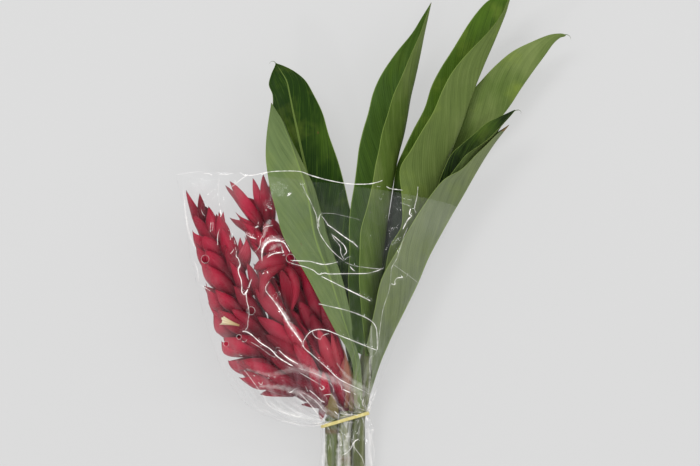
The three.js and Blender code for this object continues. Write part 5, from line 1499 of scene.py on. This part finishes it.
def makePaintedGlints():
    lines = []
    for number, (bright, path) in enumerate(foldsAndGlints):
        run = []
        for k, (x, y, wide) in enumerate(smoothPath(path)):
            run.append((*onFilm(x, y), wide * mix(0.5, 0.85, draw(k, number))))
        lines.append((bright, run))
    lines += strandLines()
    # each hole's edge gets a faint ring of painted highlight
    rim = sleeveLook["holeRim"]
    for x, y, radius in sleeveLook["holes"]:
        angles = [k * math.pi / 12 for k in range(25)]
        ring = [onFilm(radius * math.cos(a) + x, radius * math.sin(a) + y) for a in angles]
        lines.append((rim, [(*p, rim) for p in ring]))
    points, edges, marks = [], [], {"bright": [], "wide": []}
    for bright, run in lines:
        edges += [(len(points) + k, len(points) + k + 1) for k in range(len(run) - 1)]
        points += [place(p[:3]) for p in run]
        marks["bright"] += [bright] * len(run)
        marks["wide"] += [p[3] * mm for p in run]
    mesh = bpy.data.meshes.new("film_foldsPath")
    mesh.from_pydata(points, edges, [])
    writeMarks(mesh, marks)
    values = {"Dome": sleeveLook["glintDome"], "Steps": sleeveLook["glintSteps"], "Skin": paintedGlintMaterial()}
    piece = runTree(newObject(mesh.name, mesh), glintStripTree(), values, "film_folds")
    standFor(piece, "film")
    return piece


# cut open and laid flat the sleeve is 650 mm wide at the mouth, 200 mm at the lower end and 390 mm long
makePaintedGlints()
print("film sleeve")

# ---- rubber band

bandLook = {"width": 3.4, "thickness": 1.6, "gap": 0.3, "rounding": 0.6, "steps": 96}


def rubberMaterial():
    material, tree, skin = newMaterial("paleRubber")
    dust = objectNoise(tree, 300, 4)
    color = ramp(tree, dust, [(0.3, (206, 190, 112)), (0.7, (226, 214, 150))])
    dress(tree, skin, color, 0.62, dust, 0.0002, 0.4)
    return material


def bandTree():  # a flat rounded section swept round a closed curve
    tree, given, result = newTree("bandLoop", [
        ("Width", "Float"), ("Thickness", "Float"), ("Rounding", "Float"), ("Skin", "Material"),
    ])
    section = addOut(tree, "GeometryNodeCurvePrimitiveQuadrilateral", {
        "Width": given["Thickness"], "Height": given["Width"],
    })
    rounded = addOut(tree, "GeometryNodeFilletCurve", {
        "Curve": section, "Radius": given["Rounding"], "Count": 3,
    }, mode="POLY")
    upright = addOut(tree, "GeometryNodeSetCurveNormal", {"Curve": given["Geometry"]}, mode="MINIMUM_TWIST")
    sweep(tree, given, result, {"Curve": upright, "Profile Curve": rounded})
    return tree


def makeBand():
    look = bandLook
    u = sleeveLook["tieStation"] / spans
    station = splineAt(sleeveLook["stations"], u)
    curve = bpy.data.curves.new("rubber_tiePath", "CURVE")
    curve.dimensions = "3D"
    loop = curve.splines.new("POLY")
    loop.points.add(look["steps"] - 1)
    for k, point in enumerate(loop.points):
        turn = k / look["steps"]
        at, ahead, behind = (Vector(sleevePoint(station, u, turn + d)) for d in (0, 0.008, -0.008))
        out = (ahead - behind).cross(Vector((0, 1, 0))).normalized()
        point.co = (*place(at + out * (look["gap"] + look["thickness"] / 2)), 1)
    loop.use_cyclic_u = True
    values = {"Width": look["width"] * mm, "Thickness": look["thickness"] * mm,
              "Rounding": look["rounding"] * mm, "Skin": rubberMaterial()}
    standFor(runTree(newObject(curve.name, curve), bandTree(), values, "rubber_tie"), "band", "rubber_band")


makeBand()
print("rubber band")

# ---- withered flower

floretLook = {
    "base": (-105, 95, 68.6), "mouth": (-122, 100, 69.3), "flat": 0.45, "sides": 30, "rings": 16,
    "narrow": 1.0, "flare": 3.3, "flute": 0.12, "lobe": 1.6, "thick": 0.35,
}


def dryMaterial():
    material, tree, skin = newMaterial("dryPetal")
    side, reach = mark(tree, "side"), mark(tree, "reach")
    stripes = calc(tree, "SINE", times(tree, side, 60))
    color = ramp(tree, reach, [(0.0, (176, 132, 84)), (0.5, (214, 190, 142)), (1.0, (232, 218, 182))])
    color = coated(tree, color, [(span(tree, stripes, 0.1, 1, 0, 0.35), (160, 120, 76))])
    dress(tree, skin, color, 0.75, stripes, 0.0004, 0.5)
    return material


def makeFloret():  # a flattened trumpet with a wall
    look = floretLook
    base, mouth = Vector(look["base"]), Vector(look["mouth"])
    along = (mouth - base).normalized()
    across = skyward.cross(along).normalized()
    up = along.cross(across)
    points, marks = [], {"reach": [], "side": []}
    sides, rings = look["sides"], look["rings"]
    for layer in (0, 1):
        for r in range(rings):
            s = r / (rings - 1)
            for k in range(sides):
                angle = 2 * math.pi * k / sides
                flute = 1 + look["flute"] * s * math.cos(6 * angle)
                radius = (look["narrow"] + look["flare"] * s ** 1.6) * flute - layer * look["thick"]
                lobes = look["lobe"] * max(0, math.cos(3 * angle)) * s ** 4
                p = base.lerp(mouth, s) + along * lobes + across * math.cos(angle) * radius
                points.append(p + up * math.sin(angle) * radius * look["flat"])
                marks["reach"].append(s)
                marks["side"].append(abs(k / sides - 0.5))
    lower = rings * sides
    faces = gridFaces(rings, sides, wrap=True) + gridFaces(rings, sides, lower, wrap=True, turned=True)
    for k in range(sides):
        a, b = (rings - 1) * sides + k, (rings - 1) * sides + (k + 1) % sides
        faces.append((a, b, b + lower, a + lower))
    faces += [tuple(reversed(range(sides))), tuple(range(lower, lower + sides))]
    piece = newPiece("withered_flower", points, faces, dryMaterial(), marks)
    standFor(piece, "withered_flower", "floret")


makeFloret()
print("withered flower")
